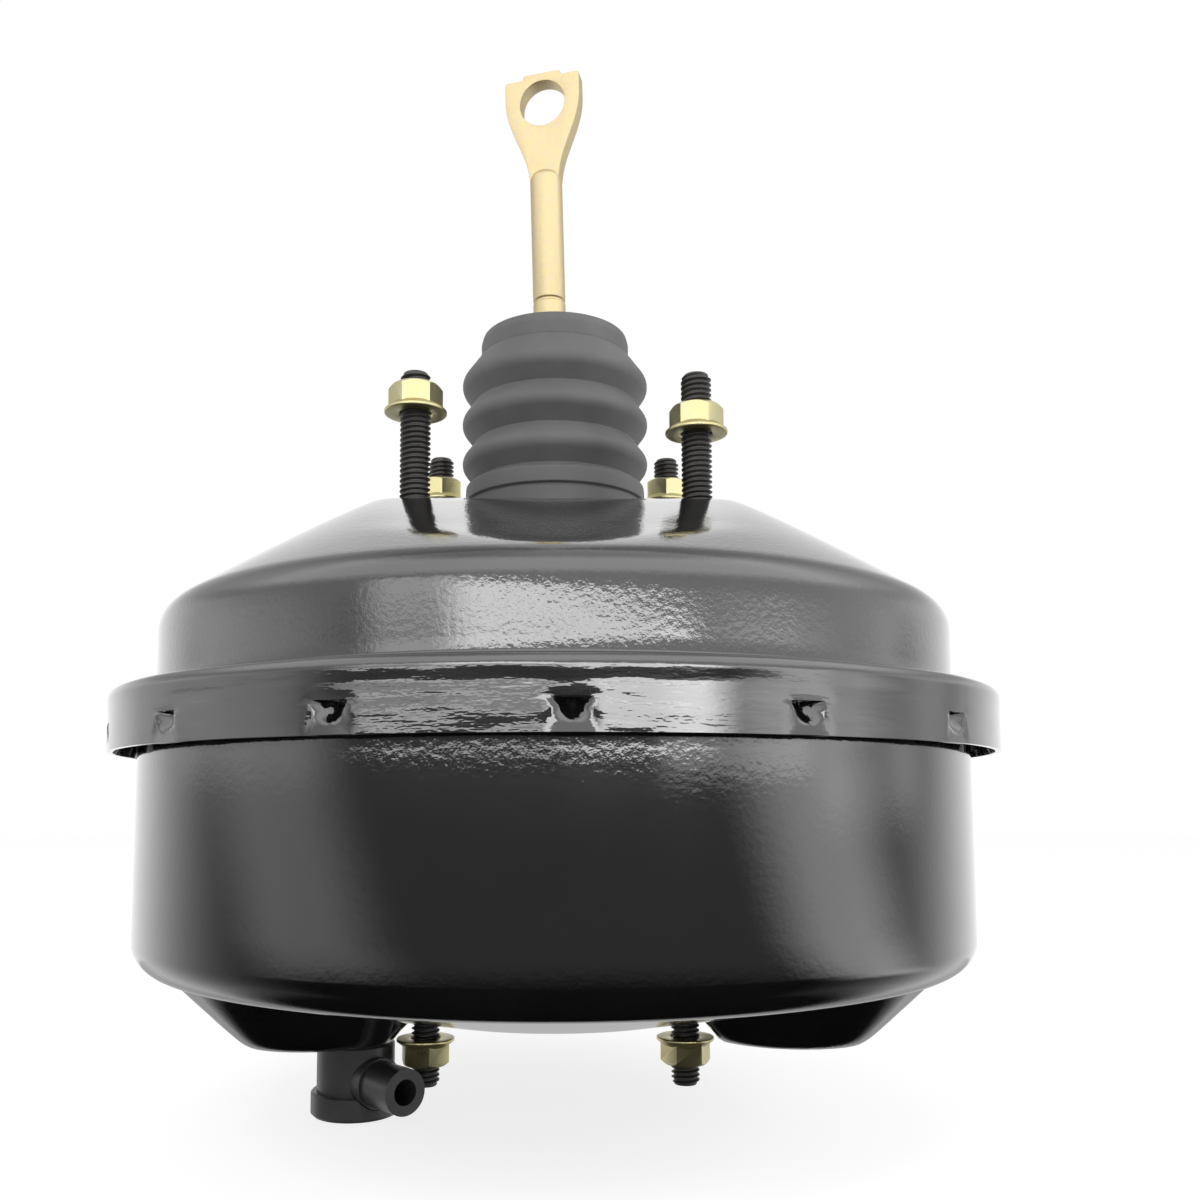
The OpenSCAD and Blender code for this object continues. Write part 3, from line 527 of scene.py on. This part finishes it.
# %% Metals
finish("black_phosphate", (0.045, 0.043, 0.041), (0.085, 0.082, 0.078), 0.42, metallic=0.55, cloud=160.0, spread=0.2,
       relief=grain, depth=20, values={"Scale": 2600.0})
finish("yellow_zinc", (0.60, 0.53, 0.27), (0.55, 0.52, 0.31), 0.3, metallic=0.95, cloud=170.0, amount=1.0, spread=0.18,
       relief=grain, depth=12, values={"Scale": 1900.0, "Pits": 0.3})
finish("pale_zinc", (0.56, 0.47, 0.30), (0.62, 0.50, 0.27), 0.42, metallic=0.8, cloud=420.0, amount=1.0, spread=0.16,
       relief=grain, depth=60, values={"Scale": 1500.0, "Pits": 0.5})
finish("turned_steel", (0.62, 0.62, 0.64), (0.5, 0.5, 0.52), 0.28, metallic=1.0, cloud=90.0, spread=0.12,
       relief=lines, depth=6, values={"Scale": 1500.0})
finish("spring_wire", (0.42, 0.42, 0.44), (0.3, 0.3, 0.32), 0.36, metallic=1.0, cloud=150.0, spread=0.2,
       relief=grain, values={"Scale": 2000.0})
finish("zinc_plate", (0.62, 0.56, 0.38), (0.56, 0.56, 0.46), 0.34, metallic=0.9, cloud=45.0, amount=1.0, spread=0.2,
       relief=lines, values={"Scale": 400.0})
finish("phosphated_steel", (0.2, 0.2, 0.205), (0.28, 0.28, 0.285), 0.48, metallic=0.8, cloud=60.0, spread=0.2,
       relief=grain, values={"Scale": 1700.0})
finish("pressed_aluminium", (0.6, 0.61, 0.62), (0.5, 0.51, 0.52), 0.36, metallic=1.0, cloud=50.0, spread=0.2,
       relief=lines, values={"Scale": 500.0})

# %% Rubbers, plastics and felt
finish("boot_rubber", (0.085, 0.085, 0.086), (0.112, 0.112, 0.112), 0.58, cloud=60.0, spread=0.14,
       relief=grain, depth=20, values={"Scale": 1300.0, "Pits": 0.3}, Specular_IOR_Level=0.45)
finish("check_plastic", (0.026, 0.026, 0.027), (0.04, 0.04, 0.041), 0.34, cloud=110.0, spread=0.16,
       relief=grain, depth=25, values={"Scale": 900.0, "Pits": 0.2})
finish("seal_rubber", (0.02, 0.02, 0.02), (0.035, 0.035, 0.035), 0.5, spread=0.12,
       relief=grain, values={"Scale": 1600.0})
finish("fabric_rubber", (0.03, 0.03, 0.032), (0.05, 0.05, 0.053), 0.62,
       relief=grain, depth=40, values={"Scale": 900.0, "Pits": 0.8})
finish("bearing_plastic", (0.72, 0.69, 0.6), (0.78, 0.76, 0.68), 0.42,
       relief=lines, values={"Scale": 700.0})
finish("piston_phenolic", (0.16, 0.075, 0.035), (0.24, 0.12, 0.055), 0.4, cloud=220.0, spread=0.15,
       relief=lines, values={"Scale": 800.0})
finish("dark_plastic", (0.03, 0.03, 0.033), (0.05, 0.05, 0.053), 0.4, spread=0.15,
       relief=grain, values={"Scale": 1100.0})
finish("filter_felt", (0.12, 0.115, 0.1), (0.19, 0.18, 0.16), 0.9, cloud=700.0, amount=1.0,
       relief=grain, depth=200, values={"Scale": 1500.0, "Pits": 1.0}, Sheen_Weight=0.4)
print("finishes:", len(finishes))

# %% [markdown]
# ## The pieces that keep their CAD shapes
# The piston, plates and valves inside the drum and the check valve keep their CAD shapes. They show
# through the openings and when the model is taken apart, so each gets the finish of the real piece.
# The nodes that new pieces stand for further down are in the list too, so that none is left bare.

# %% Finishes on the CAD pieces
finished_nodes = {
    "rear_paint": ["rear_shell"],
    "front_paint": ["front_shell"],
    "black_phosphate": ["firewall_studs", "front_studs"],
    "yellow_zinc": ["firewall_nuts", "front_nuts"],
    "pale_zinc": ["pushrod"],
    "boot_rubber": ["boot"],
    "spring_wire": ["return_spring", "valve_spring", "check_spring", "poppet_spring"],
    "fabric_rubber": ["primary_diaphragm", "secondary_diaphragm"],
    "pressed_aluminium": ["housing_divider"],
    "phosphated_steel": ["front_stiffener", "rear_stiffener"],
    "seal_rubber": ["front_seal", "grommet", "reaction_disc", "poppet", "air_valve_seal", "check_disc"],
    "bearing_plastic": ["neck_bearing", "divider_bearing"],
    "piston_phenolic": ["power_piston"],
    "zinc_plate": ["primary_plate", "secondary_plate", "poppet_retainer"],
    "dark_plastic": ["plate_retainer", "reaction_retainer"],
    "turned_steel": ["reaction_pin", "output_rod", "valve_key", "air_valve", "spring_washer"],
    "filter_felt": ["air_filter"],
    "check_plastic": ["check_body", "check_cap"],
}


def dress(piece, name):
    """Gives a piece one finish only."""
    piece.data.materials.clear()
    piece.data.materials.append(finishes[name])


for finish_name, node_names in finished_nodes.items():
    for node_name in node_names:
        dress(nodes[node_name], finish_name)
print("CAD pieces with a finish:", sum(map(len, finished_nodes.values())), "of", len(nodes))

# %% [markdown]
# ## Handing a new piece to the frame
# Each new piece gets a finish, moves with one body, has a material slot and mostly stands for a CAD
# node. One helper says all of it, so that no piece goes without.

# %% Finish, body, slot and node of a piece
def hand_in(piece, finish_name, body, node=None):
    """Gives a piece its finish, body and slot, and the CAD node that it stands for."""
    dress(piece, finish_name)
    if node:
        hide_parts(node)
    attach(piece, body)


# %% [markdown]
# ## Drawing a pressing
# Sheet metal is drawn as a section: straight lines with a bend radius at each corner. A die can't press
# a sharp corner, and it is the soft bends that catch the light. So each outline below is a list of
# corners (radius from the axis, height, bend), and one helper rounds them. A round pressing is then
# that line spun about the Z axis.

# %% Lines with round bends
def rounded(corners, steps=7):
    """Makes a line of points from corners (r, z, bend) in mm, with arcs at the bends."""
    line = []
    for i, (r, z, bend) in enumerate(corners):
        here = Vector((r, z))
        if not bend:
            line.append(here)
            continue
        before = (Vector(corners[i - 1][:2]) - here).normalized()
        after = (Vector(corners[(i + 1) % len(corners)][:2]) - here).normalized()
        half = before.angle(after) / 2
        middle = here + (before + after).normalized() * bend / math.sin(half)
        first = here + before * bend / math.tan(half) - middle
        last = here + after * bend / math.tan(half) - middle
        for k in range(steps + 1):
            line.append(middle + first.slerp(last, k / steps).normalized() * bend)
    return line


def spaced(line, gap):
    """Adds points so that no step is longer than gap(r, z) there."""
    fine = [line[0]]
    for a, b in zip(line, line[1:]):
        count = max(1, math.ceil((b - a).length / gap(*((a + b) / 2)) - 0.01))
        fine += [a.lerp(b, k / count) for k in range(1, count + 1)]
    return fine


def drawn(name, line, closed=False, y=0.0):
    """Draws a line of (x, z) points in mm, at one y, as joined vertices."""
    nothing_selected()
    bpy.ops.mesh.primitive_circle_add(vertices=len(line), radius=1)
    piece = name_it(name)
    mesh = edit(piece)
    mesh.verts.ensure_lookup_table()
    corners = list(mesh.verts)
    for vertex, (x, z) in zip(corners, line):
        vertex.co = (x * MM, y * MM, z * MM)
    if not closed:
        mesh.edges.get((corners[0], corners[-1])).select_set(True)
        bmesh.update_edit_mesh(piece.data)
        bpy.ops.mesh.select_mode(type="EDGE")
        bpy.ops.mesh.delete(type="EDGE")
    object_mode()
    return piece


def tidy_skin(piece):
    """Merges doubled vertices and turns all faces outwards."""
    edit_all(piece)
    bpy.ops.mesh.remove_doubles(threshold=0.004 * MM)
    bpy.ops.mesh.normals_make_consistent(inside=False)
    object_mode()


def spun(name, line, steps=96, closed=True):
    """Spins a line of (r, z) points all the way round the Z axis."""
    piece = drawn(name, line, closed)
    edit_all(piece)
    bpy.ops.mesh.spin(steps=steps, angle=2 * math.pi, center=(0, 0, 0), axis=(0, 0, 1), use_auto_merge=True)
    object_mode()
    tidy_skin(piece)
    return piece


def moved(piece, place=(0, 0, 0), turn=0.0, flip=False):
    """Moves a piece to a place in mm, turned in degrees about Z and upside down if asked."""
    pick(piece)
    bpy.ops.object.transform_apply(location=True, rotation=True, scale=True)
    piece.rotation_euler = (math.pi if flip else 0, 0, math.radians(turn))
    piece.location = Vector(place) * MM
    bpy.ops.object.transform_apply(location=True, rotation=True, scale=True)
    return piece


def cut(piece, tool, operation="DIFFERENCE"):
    """Cuts a piece with a tool that is then thrown away."""
    apply_modifier(piece, "BOOLEAN", operation=operation, object=tool, solver="EXACT")
    bpy.data.objects.remove(tool)
    return piece


def rod(radius, low, high, place=(0, 0), sides=48):
    """A plain drill or punch in mm, used to cut with."""
    nothing_selected()
    bpy.ops.mesh.primitive_cylinder_add(vertices=sides, radius=radius * MM, depth=(high - low) * MM,
                                        location=(place[0] * MM, place[1] * MM, (low + high) / 2 * MM))
    return name_it("punch")


def smooth_max(values, soft):
    """The largest value, with a soft change from one to the next."""
    top = max(values)
    return top + soft * math.log(sum(math.exp((v - top) / soft) for v in values))


def smooth(value, low, high):
    """Rises softly from 0 at low to 1 at high."""
    t = min(1.0, max(0.0, (value - low) / (high - low)))
    return t * t * (3 - 2 * t)


print("bend test:", [tuple(round(v, 2) for v in p) for p in rounded([(0, 0, 0), (10, 0, 5), (10, 10, 0)], 2)])

# %% [markdown]
# ## The rear shell
# The rear shell is one deep pressing. Its wall and rim are round, but the hub at the top is square,
# so four flat flanks run from the square out to the round rim. The band at its lower edge is crimped
# over the front shell: sixteen lances are cut and pushed in under the flange.
#
# The sheet repeats sixteen times round the axis, so one sixteenth is made first: the section is
# drawn, then spun in three goes so that the columns are close together where the lance will be.

# %% One sixteenth of the rear shell
hub_half, hub_corner, rear_radius, band_radius = 53.96, 73.91, 126.6, 140.25
flank_slope, corner_slope = math.tan(math.radians(23.83)), math.tan(math.radians(32.12))
foot, slit, band_low, waist = -57.6, -67.5, -75.3, band_radius - 0.13
sheet, stud_half, stud_hole = 1.6, 42.8625, 5.63
lances = 16
sector = 360 / lances

rear_line = rounded([
    (29.2, 15, 0), (29.2, -0.4, 0.8), (32.4, -0.4, 0), (32.8, 0, 0), (hub_corner, 0, 9),
    (rear_radius, -(rear_radius - hub_corner) * corner_slope, 10), (rear_radius, foot, 2.2),
    (band_radius, foot, 2.7), (band_radius, -60.9, 0), (waist, -64.0, 0), (waist, slit, 0), (waist, band_low, 0),
])
rear_line = spaced(rear_line, lambda r, z: 0.66 if z < -60 else 3.6 if z < -38 or r < 36 else 2.25)
rear = drawn("rear_pressing", rear_line)
edit_all(rear)
bpy.ops.transform.rotate(value=math.radians(-sector / 2), orient_axis="Z", center_override=(0, 0, 0))
for angle, steps in ((7.95, 5), (6.6, 14), (7.95, 5)):
    bpy.ops.mesh.spin(steps=steps, angle=math.radians(angle), center=(0, 0, 0), axis=(0, 0, 1))
object_mode()
angles = sorted({round(math.degrees(math.atan2(v.co.y, v.co.x)), 2) for v in rear.data.vertices})
print("rings:", len(rear_line), "columns:", len(angles), "from", angles[0], "to", angles[-1])

# %% [markdown]
# The lance is a straight slit. The metal under it is pushed in as a half-round pocket, deepest at the
# slit, and the band below leans in with it. The edges of the slit are split first, so that only the
# lower lip moves.

# %% The lance
edit(rear, "EDGE")
slit_edges = choose_edges(
    rear,
    lambda place, way: abs(place.z - slit * MM) < 0.01 * MM and abs(place.y) < 4.2 * MM and abs(way.z) < 0.01 * MM,
)
bpy.ops.mesh.edge_split(type="EDGE")
bpy.ops.mesh.select_all(action="DESELECT")
mesh = bmesh.from_edit_mesh(rear.data)
pushed = 0
for vertex in mesh.verts:
    down = slit - vertex.co.z / MM
    if vertex.co.x < 136 * MM or down < -4.5:
        continue
    across = math.atan2(vertex.co.y, vertex.co.x) * band_radius
    if down < -0.01 or max(f.calc_center_median().z for f in vertex.link_faces) / MM > slit and down < 0.01:
        depth = 0.12 * (1 + down / 4.5) ** 2 * smooth(6.0 - abs(across), -2.0, 2.0) * MM
    else:
        round_way = (across / 3.8) ** 2 + (down / 5.3) ** 2
        pocket = 3.1 * max(0.0, 1 - round_way) ** 0.6
        lean = 0.8 * (1 - down / 8.2) * smooth(2.7 + 0.42 * down - abs(across), -1.4, 1.4)
        depth = max(pocket, lean) * MM
    flat_way = Vector((vertex.co.x, vertex.co.y, 0)).normalized()
    vertex.co -= flat_way * depth
    pushed += depth > 0.01 * MM
bmesh.update_edit_mesh(rear.data)
object_mode()
print("slit edges:", slit_edges, "vertices pushed in:", pushed)

# %% All round
edit_all(rear)
bpy.ops.mesh.spin(steps=lances - 1, angle=math.radians(360 - sector), dupli=True, center=(0, 0, 0), axis=(0, 0, 1))
bpy.ops.mesh.select_all(action="SELECT")
bpy.ops.transform.rotate(value=math.radians(-1), orient_axis="Z", center_override=(0, 0, 0))
object_mode()
tidy_skin(rear)
print("vertices all round:", len(rear.data.vertices))

# %% [markdown]
# The four flanks are pressed into the round form: each vertex sinks to the lowest of the cone and the
# flank planes. The step from one to the next is a soft one, as the flanks of the real pressing run
# into the corner cones with no crease to be seen. The rolled steel is never quite flat either, and a
# gloss paint shows that, so the wall and the band get waves of a few hundredths of a millimetre.

# %% Press the flanks and the waves
mesh = edit(rear)
for vertex in mesh.verts:
    x, y, z = vertex.co / MM
    r = math.hypot(x, y)
    if r > 33 and z > -45:
        soft = 1.3 - 1.05 * smooth(r, 98, 118)
        planes = [(abs(x) - hub_half) * flank_slope, (abs(y) - hub_half) * flank_slope]
        vertex.co.z = -smooth_max([-z] + planes, soft) * MM
    if z < -34:
        wave = 0.035 * field.noise(Vector((x, y, 1.6 * z)) * 0.045) + 0.012 * field.noise(Vector((x, y, z)) * 0.16)
        if z < -59:
            wave = 2.2 * wave + 0.03 * field.noise(Vector((x * 0.07, y * 0.07, z * 0.33))) - 0.12
        flat_way = Vector((x, y, 0)) / r
        vertex.co += flat_way * wave * MM
bmesh.update_edit_mesh(rear.data)
object_mode()
apply_modifier(rear, "SOLIDIFY", thickness=sheet * MM, offset=-1.0, use_even_offset=True)
for x in (-stud_half, stud_half):
    for y in (-stud_half, stud_half):
        cut(rear, rod(stud_hole, -8, 3, (x, y)))
settle(rear, 38)
hand_in(rear, "rear_paint", "casing", "rear_shell")
rear.data.materials.append(finishes["band_paint"])
for face in rear.data.polygons:
    if face.center.z < -60 * MM:
        face.material_index = 1

# %% [markdown]
# ## The front shell
# The front shell is the deeper pressing: a straight wall, a round corner and a shallow cone up to the
# flat pad for the master cylinder. Two lobes stand out of the cone, on either side of that pad. They
# are pressed from the spun form in the same soft way as the flanks: a lobe is the space between its
# floor, its sloping outer side, its steep inner side and a cone round its middle.

# %% Spin the front shell
pad_z, lobe_floor_z = -155.5, -166.0
front_line = rounded([
    (137.6, slit, 0), (131.5, slit, 2), (132.0, -137.7, 9), (54, pad_z, 4), (17.5, pad_z, 0),
])
front_line = spaced(front_line, lambda r, z: 9 if z > -128 else 0.75 if 46 < r < 58 else 1.7 if r > 46 else 6)
front = spun("front_pressing", front_line, steps=256, closed=False)
print("front rings:", len(front_line))

# %% Press the lobes
mesh = edit(front)
for vertex in mesh.verts:
    x, y, z = vertex.co / MM
    r = math.hypot(x, y)
    if z < -128 and r > 40:
        from_middle = math.hypot(abs(x) - 77, y)
        sides = [0.0, (r - 98.5) * 1.02, (54.3 - r) * 3.0, from_middle - 31.0]
        lobe = lobe_floor_z + smooth_max(sides, 1.5)
        vertex.co.z = -smooth_max([-z, -lobe], 1.3) * MM
bmesh.update_edit_mesh(front.data)
object_mode()
face_out(front)
apply_modifier(front, "SOLIDIFY", thickness=sheet * MM, offset=-1.0, use_even_offset=True)
for x in (-stud_half, stud_half):
    cut(front, rod(stud_hole, -158, -150, (x, 0)))
cut(front, rod(8, -170, -160, (-65.6, 0)))
settle(front, 38)
hand_in(front, "front_paint", "casing", "front_shell")

# %% [markdown]
# ## The boot
# The rubber bellows keeps dust off the piston. Its crests are round and its valleys sharp, because
# rubber folds at the thin valleys. It is stretched between a fixed foot and a collar that travels with
# the piston, so it is two pieces: the bellows stays with the casing and gets a mesh of its own, and the collar rides.
# Both are round, so a spun section is all that they need.

# %% Bellows and collar
folds = [(27.5, 18.0, 0.5)]
for i in range(2):
    folds += [(32.7, 24.8 + 13.6 * i, 4.3), (27.4 + 0.5 * i, 31.6 + 13.6 * i, 0.5)]
bellows_line = rounded([
    (31.2, -0.4, 0), (31.2, 5.2, 0.7), (30.3, 5.9, 0.3), (30.3, 9.9, 0.2), (29.6, 10.3, 0.2), (29.6, 10.9, 0.2),
    (30.6, 11.4, 0.4), (30.3, 16.6, 1.2), *folds, (32.7, 52.0, 4.6), (26.1, 60.9, 2.0), (25.2, 61.95, 0),
])
bellows = spun("boot_bellows", bellows_line, steps=128, closed=False)
apply_modifier(bellows, "SOLIDIFY", thickness=1.8 * MM, offset=-1.0)
settle(bellows, 50)
hand_in(bellows, "boot_rubber", "casing", "boot")
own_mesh(bellows)

collar_line = rounded([
    (25.2, 62.0, 0), (25.25, 66.3, 0.5), (24.5, 69.3, 1.3), (11.55, 69.3, 0.7), (11.55, 67.4, 0.7),
    (23.2, 67.4, 0), (23.2, 62.0, 0),
], 4)
collar = settle(spun("boot_collar", collar_line, steps=128), 50)
hand_in(collar, "boot_rubber", "piston_group")

# %% [markdown]
# ## Studs with real threads
# A thread is one ridge that winds up the stud. So the section of one turn is drawn and the Screw
# modifier winds it up by the pitch. Both ends are cut flat, the tip is turned to a chamfer, and the
# head that holds the stud in the sheet is spun and joined on.

# %% Wind a thread
pitch, crest, root = 1.5875, 4.65, 3.8


def threaded(name, low, high, chamfer=1.3):
    """Winds a thread from low to high in mm, with a chamfered tip at the top."""
    turn = [(root, 0), (root, 0.16), (crest, 0.66), (crest, 0.86), (root, 1.36), (root, pitch)]
    turn = [Vector((r, z + low - pitch)) for r, z in turn]
    piece = drawn(name, turn)
    apply_modifier(piece, "SCREW", angle=2 * math.pi, screw_offset=pitch * MM, steps=26, render_steps=26,
                   iterations=math.ceil((high - low) / pitch) + 2, use_merge_vertices=True, merge_threshold=0.002 * MM)
    for z, upper in ((low, False), (high, True)):
        edit_all(piece)
        bpy.ops.mesh.bisect(plane_co=(0, 0, z * MM), plane_no=(0, 0, 1), use_fill=True, threshold=1e-6,
                            clear_inner=not upper, clear_outer=upper)
    object_mode()
    mesh = edit(piece)
    for vertex in mesh.verts:
        r = math.hypot(vertex.co.x, vertex.co.y) / MM
        limit = crest - 0.85 * max(0.0, vertex.co.z / MM - high + chamfer)
        if r > limit:
            vertex.co.x *= limit / r
            vertex.co.y *= limit / r
    bmesh.update_edit_mesh(piece.data)
    object_mode()
    face_out(piece)
    return piece


def stud(name, length):
    """A pressed-in stud that stands on the face at z = 0: head, knurl, short neck and thread."""
    head = spun(name + "_head", rounded([
        (0, -6.1, 0), (8.5, -6.1, 0.5), (8.5, -3.6, 0), (5.6, -3.6, 0), (5.6, -0.1, 0), (4.75, 0.2, 0),
        (4.6, 1.2, 0), (0, 1.2, 0),
    ], 3), steps=48)
    return join(name, [threaded(name + "_thread", 0.7, length), head])


def repeated(name, pattern, places, flip=False):
    """Copies a pattern to each (x, y, z, turn), x and y in stud spacings, and joins the copies."""
    copies = [
        moved(copy_of(pattern, pattern.name + "_copy"), (stud_half * x, stud_half * y, z), turn, flip)
        for x, y, z, turn in places
    ]
    return settle(join(name, copies), 30)


# %% Place the studs
rear_stud, front_stud = stud("rear_stud", 40.6), stud("front_stud", 27.0)
rear_studs = repeated("mounting_studs", rear_stud, ((-1, -1, 0, 0), (1, -1, 0, 140), (-1, 1, 0, 65), (1, 1, 0, 210)))
front_pair = repeated("master_cylinder_studs", front_stud, ((-1, 0, pad_z, -30), (1, 0, pad_z, 30)), flip=True)
bpy.data.objects.remove(rear_stud)
bpy.data.objects.remove(front_stud)
hand_in(rear_studs, "black_phosphate", "casing", "firewall_studs")
hand_in(front_pair, "black_phosphate", "casing", "front_studs")

# %% [markdown]
# ## Flange nuts
# A flange nut is cold formed: a hexagon grows out of a round flange, and the top corners of the
# hexagon are turned off by a cone, which leaves the curved edges that every nut has.

# %% Nuts
def flange_nut(name):
    """A flange nut that stands on z = 0."""
    nothing_selected()
    bpy.ops.mesh.primitive_cylinder_add(vertices=6, radius=7.15 / math.cos(math.pi / 6) * MM, depth=8.3 * MM,
                                        location=(0, 0, 4.65 * MM), rotation=(0, 0, math.radians(30)))
    body = name_it(name)
    turned_top = spun("cone", rounded([
        (0, -1, 0), (10, -1, 0), (10, 6.2, 0), (6.7, 8.8, 0), (0, 8.8, 0),
    ]), steps=96)
    cut(body, turned_top, "INTERSECT")
    flange = spun("flange", rounded([
        (0, 0, 0), (9.5, 0, 0.35), (9.5, 0.9, 0.35), (7.5, 2.5, 1.2), (5.5, 3.2, 0), (0, 3.2, 0),
    ], 4), steps=96)
    cut(body, flange, "UNION")
    bore = spun("bore", rounded([
        (0, -1, 0), (6.1, -1, 0), (4.7, 0.6, 0), (4.7, 8.1, 0), (6.1, 9.5, 0), (0, 9.5, 0),
    ]), steps=64)
    cut(body, bore)
    apply_modifier(body, "BEVEL", width=0.22 * MM, segments=2, limit_method="ANGLE", angle_limit=math.radians(35))
    return body


pattern = flange_nut("nut")
nut_places = ((-1, -1, 28.0, 7), (1, -1, 22.0, 48), (-1, 1, 23.5, 37), (1, 1, 23.5, 24))
rear_nuts = repeated("mounting_nuts", pattern, nut_places)
nut_seat = pad_z - 11.5
lower_nuts = repeated("master_cylinder_nuts", pattern, ((-1, 0, nut_seat, -16), (1, 0, nut_seat, -57)), flip=True)
bpy.data.objects.remove(pattern)
hand_in(rear_nuts, "yellow_zinc", "casing", "firewall_nuts")
hand_in(lower_nuts, "yellow_zinc", "casing", "front_nuts")

# %% [markdown]
# ## The pushrod
# The rod that comes from the pedal is a turned bar with a ball at one end. Its other end is pressed
# into a forged eye, and the bar's rounded end stands proud of the flat paddle as an arc. Here the bar
# is a spun line and the paddle a drawn outline that is extruded, bevelled, drilled and welded on.

# %% The bar
ball, rod_thick, eye_high, bar_end = 6.5, 5.6, 150.0, 125.6
bar_line = [Vector((ball * math.sin(a * math.pi / 24), -ball * math.cos(a * math.pi / 24))) for a in range(18)]
bar_line += rounded([
    (4.2, 6.0, 0), (4.2, 11, 1), (rod_thick, 15, 2), (rod_thick, 41.8, 0.4), (rod_thick + 1.3, 41.8, 0.4),
    (rod_thick + 1.3, 43.4, 0.4), (rod_thick, 44.2, 0.3), (rod_thick, 78, 0.3), (rod_thick - 0.5, 78.4, 0.15),
    (rod_thick - 0.5, 79, 0.15), (rod_thick, 79.4, 0.3), (rod_thick, bar_end, 3.4), (0, bar_end, 0),
], 5)
pushrod = spun("pedal_pushrod", bar_line, steps=64, closed=False)

# %% The eye
wide, thick = 13.35, 5.6
side = [(wide, eye_high + 9.3, 0.8)]
side += [
    (5.5 + (wide - 5.5) * math.cos(math.radians(a)) ** 1.6, eye_high + 2.4 - 28 * a / 90, 0) for a in range(0, 89, 4)
]
side += [(4.7, 120, 0)]
tab = [(0, eye_high + 10.9, 0), (6.5, eye_high + 10.9, 0.5), (6.8, eye_high + 9.3, 0.4)]
left_half = [(-r, z, bend) for r, z, bend in reversed(tab[1:] + side)]
eye = drawn("eye", rounded(tab + side + left_half, 4), closed=True, y=thick / 2)
edit_all(eye)
bpy.ops.mesh.edge_face_add()
bpy.ops.mesh.extrude_region_move(TRANSFORM_OT_translate={"value": (0, -thick * MM, 0)})
object_mode()
face_out(eye)
drill = rod(8.1, -6, 6, sides=72)
drill.rotation_euler = (math.pi / 2, 0, 0)
drill.location = (0, 0, eye_high * MM)
cut(eye, drill)
apply_modifier(eye, "BEVEL", width=0.55 * MM, segments=3, limit_method="ANGLE", angle_limit=math.radians(50))
cut(pushrod, eye, "UNION")

# %% Turn the eye, lean the rod and set its ball in place
pick(pushrod)
pushrod.rotation_euler = (0, 0, math.radians(-16))
bpy.ops.object.transform_apply(rotation=True)
pushrod.rotation_euler = (0, math.radians(-1.4), 0)
pushrod.location = (0, 0, 4 * MM)
settle(pushrod, 32)
hand_in(pushrod, "pale_zinc", "rod", "pushrod")

# %% [markdown]
# ## Springs and diaphragms inside
# A spring has to shorten with its joint. Each one is a circle of wire that a Screw modifier winds up
# into a helix, which gets a mesh of its own. A diaphragm is held
# at its rim and pushed by its plate, so it is cut in two: the lining goes with the plate, and the
# rolling fold stays. Only the primary one's fold lies in the piston's way, so that one gets a mesh of its own.

# %% Springs
def spring(name, node, thick, turns, body):
    """Winds a spring in the space of its CAD node and gives it a mesh of its own."""
    low, high = (Vector(corner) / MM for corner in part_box(node))
    radius, height = (high.y - low.y - thick) / 2, high.z - low.z
    nothing_selected()
    bpy.ops.mesh.primitive_circle_add(vertices=10, radius=thick / 2 * MM, rotation=(math.pi / 2, 0, 0),
                                      location=(radius * MM, 0, 0))
    piece = name_it(name)
    bpy.ops.object.transform_apply(location=True, rotation=True, scale=True)
    steps = round(32 * turns)
    apply_modifier(piece, "SCREW", angle=2 * math.pi * turns, screw_offset=(height - thick) * MM, steps=steps,
                   render_steps=steps, iterations=1)
    edit_all(piece)
    bpy.ops.mesh.fill_holes(sides=0)
    object_mode()
    face_out(piece)
    # The check valve's axis is the only one that isn't on Z.
    moved(piece, (low.x + thick / 2 + radius if low.x < -60 else 0, 0, low.z + thick / 2))
    settle(piece, 60)
    hand_in(piece, "spring_wire", body, node)
    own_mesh(piece)


spring("return_coil", "return_spring", 3.4, 6.5, "casing")
spring("valve_coil", "valve_spring", 1.6, 4.5, "piston_group")
spring("check_coil", "check_spring", 0.8, 5.5, "hose_elbow")


# %% Diaphragms in two
def part_of(node, name, radius, operation, body, stands_for=None):
    """Makes a piece of the part of a diaphragm that lies inside or outside of a radius."""
    piece = bpy.data.objects.new(name, nodes[node].data.copy())
    bpy.context.scene.collection.objects.link(piece)
    settle(cut(piece, rod(radius, -130, 10, sides=128), operation))
    hand_in(piece, "fabric_rubber", body, stands_for)
    return piece


for node, short, radius in (("primary_diaphragm", "primary", 107.5), ("secondary_diaphragm", "secondary", 110.6)):
    part_of(node, short + "_lining", radius, "INTERSECT", "piston_group")
    fold = part_of(node, short + "_fold", radius, "DIFFERENCE", "casing", node)
    if short == "primary":
        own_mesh(fold)

# %% [markdown]
# ## The end
# The dressed model has to stay as large as the CAD model; the CAD model's box is printed near the top.

# %% Clear the selection
nothing_selected()
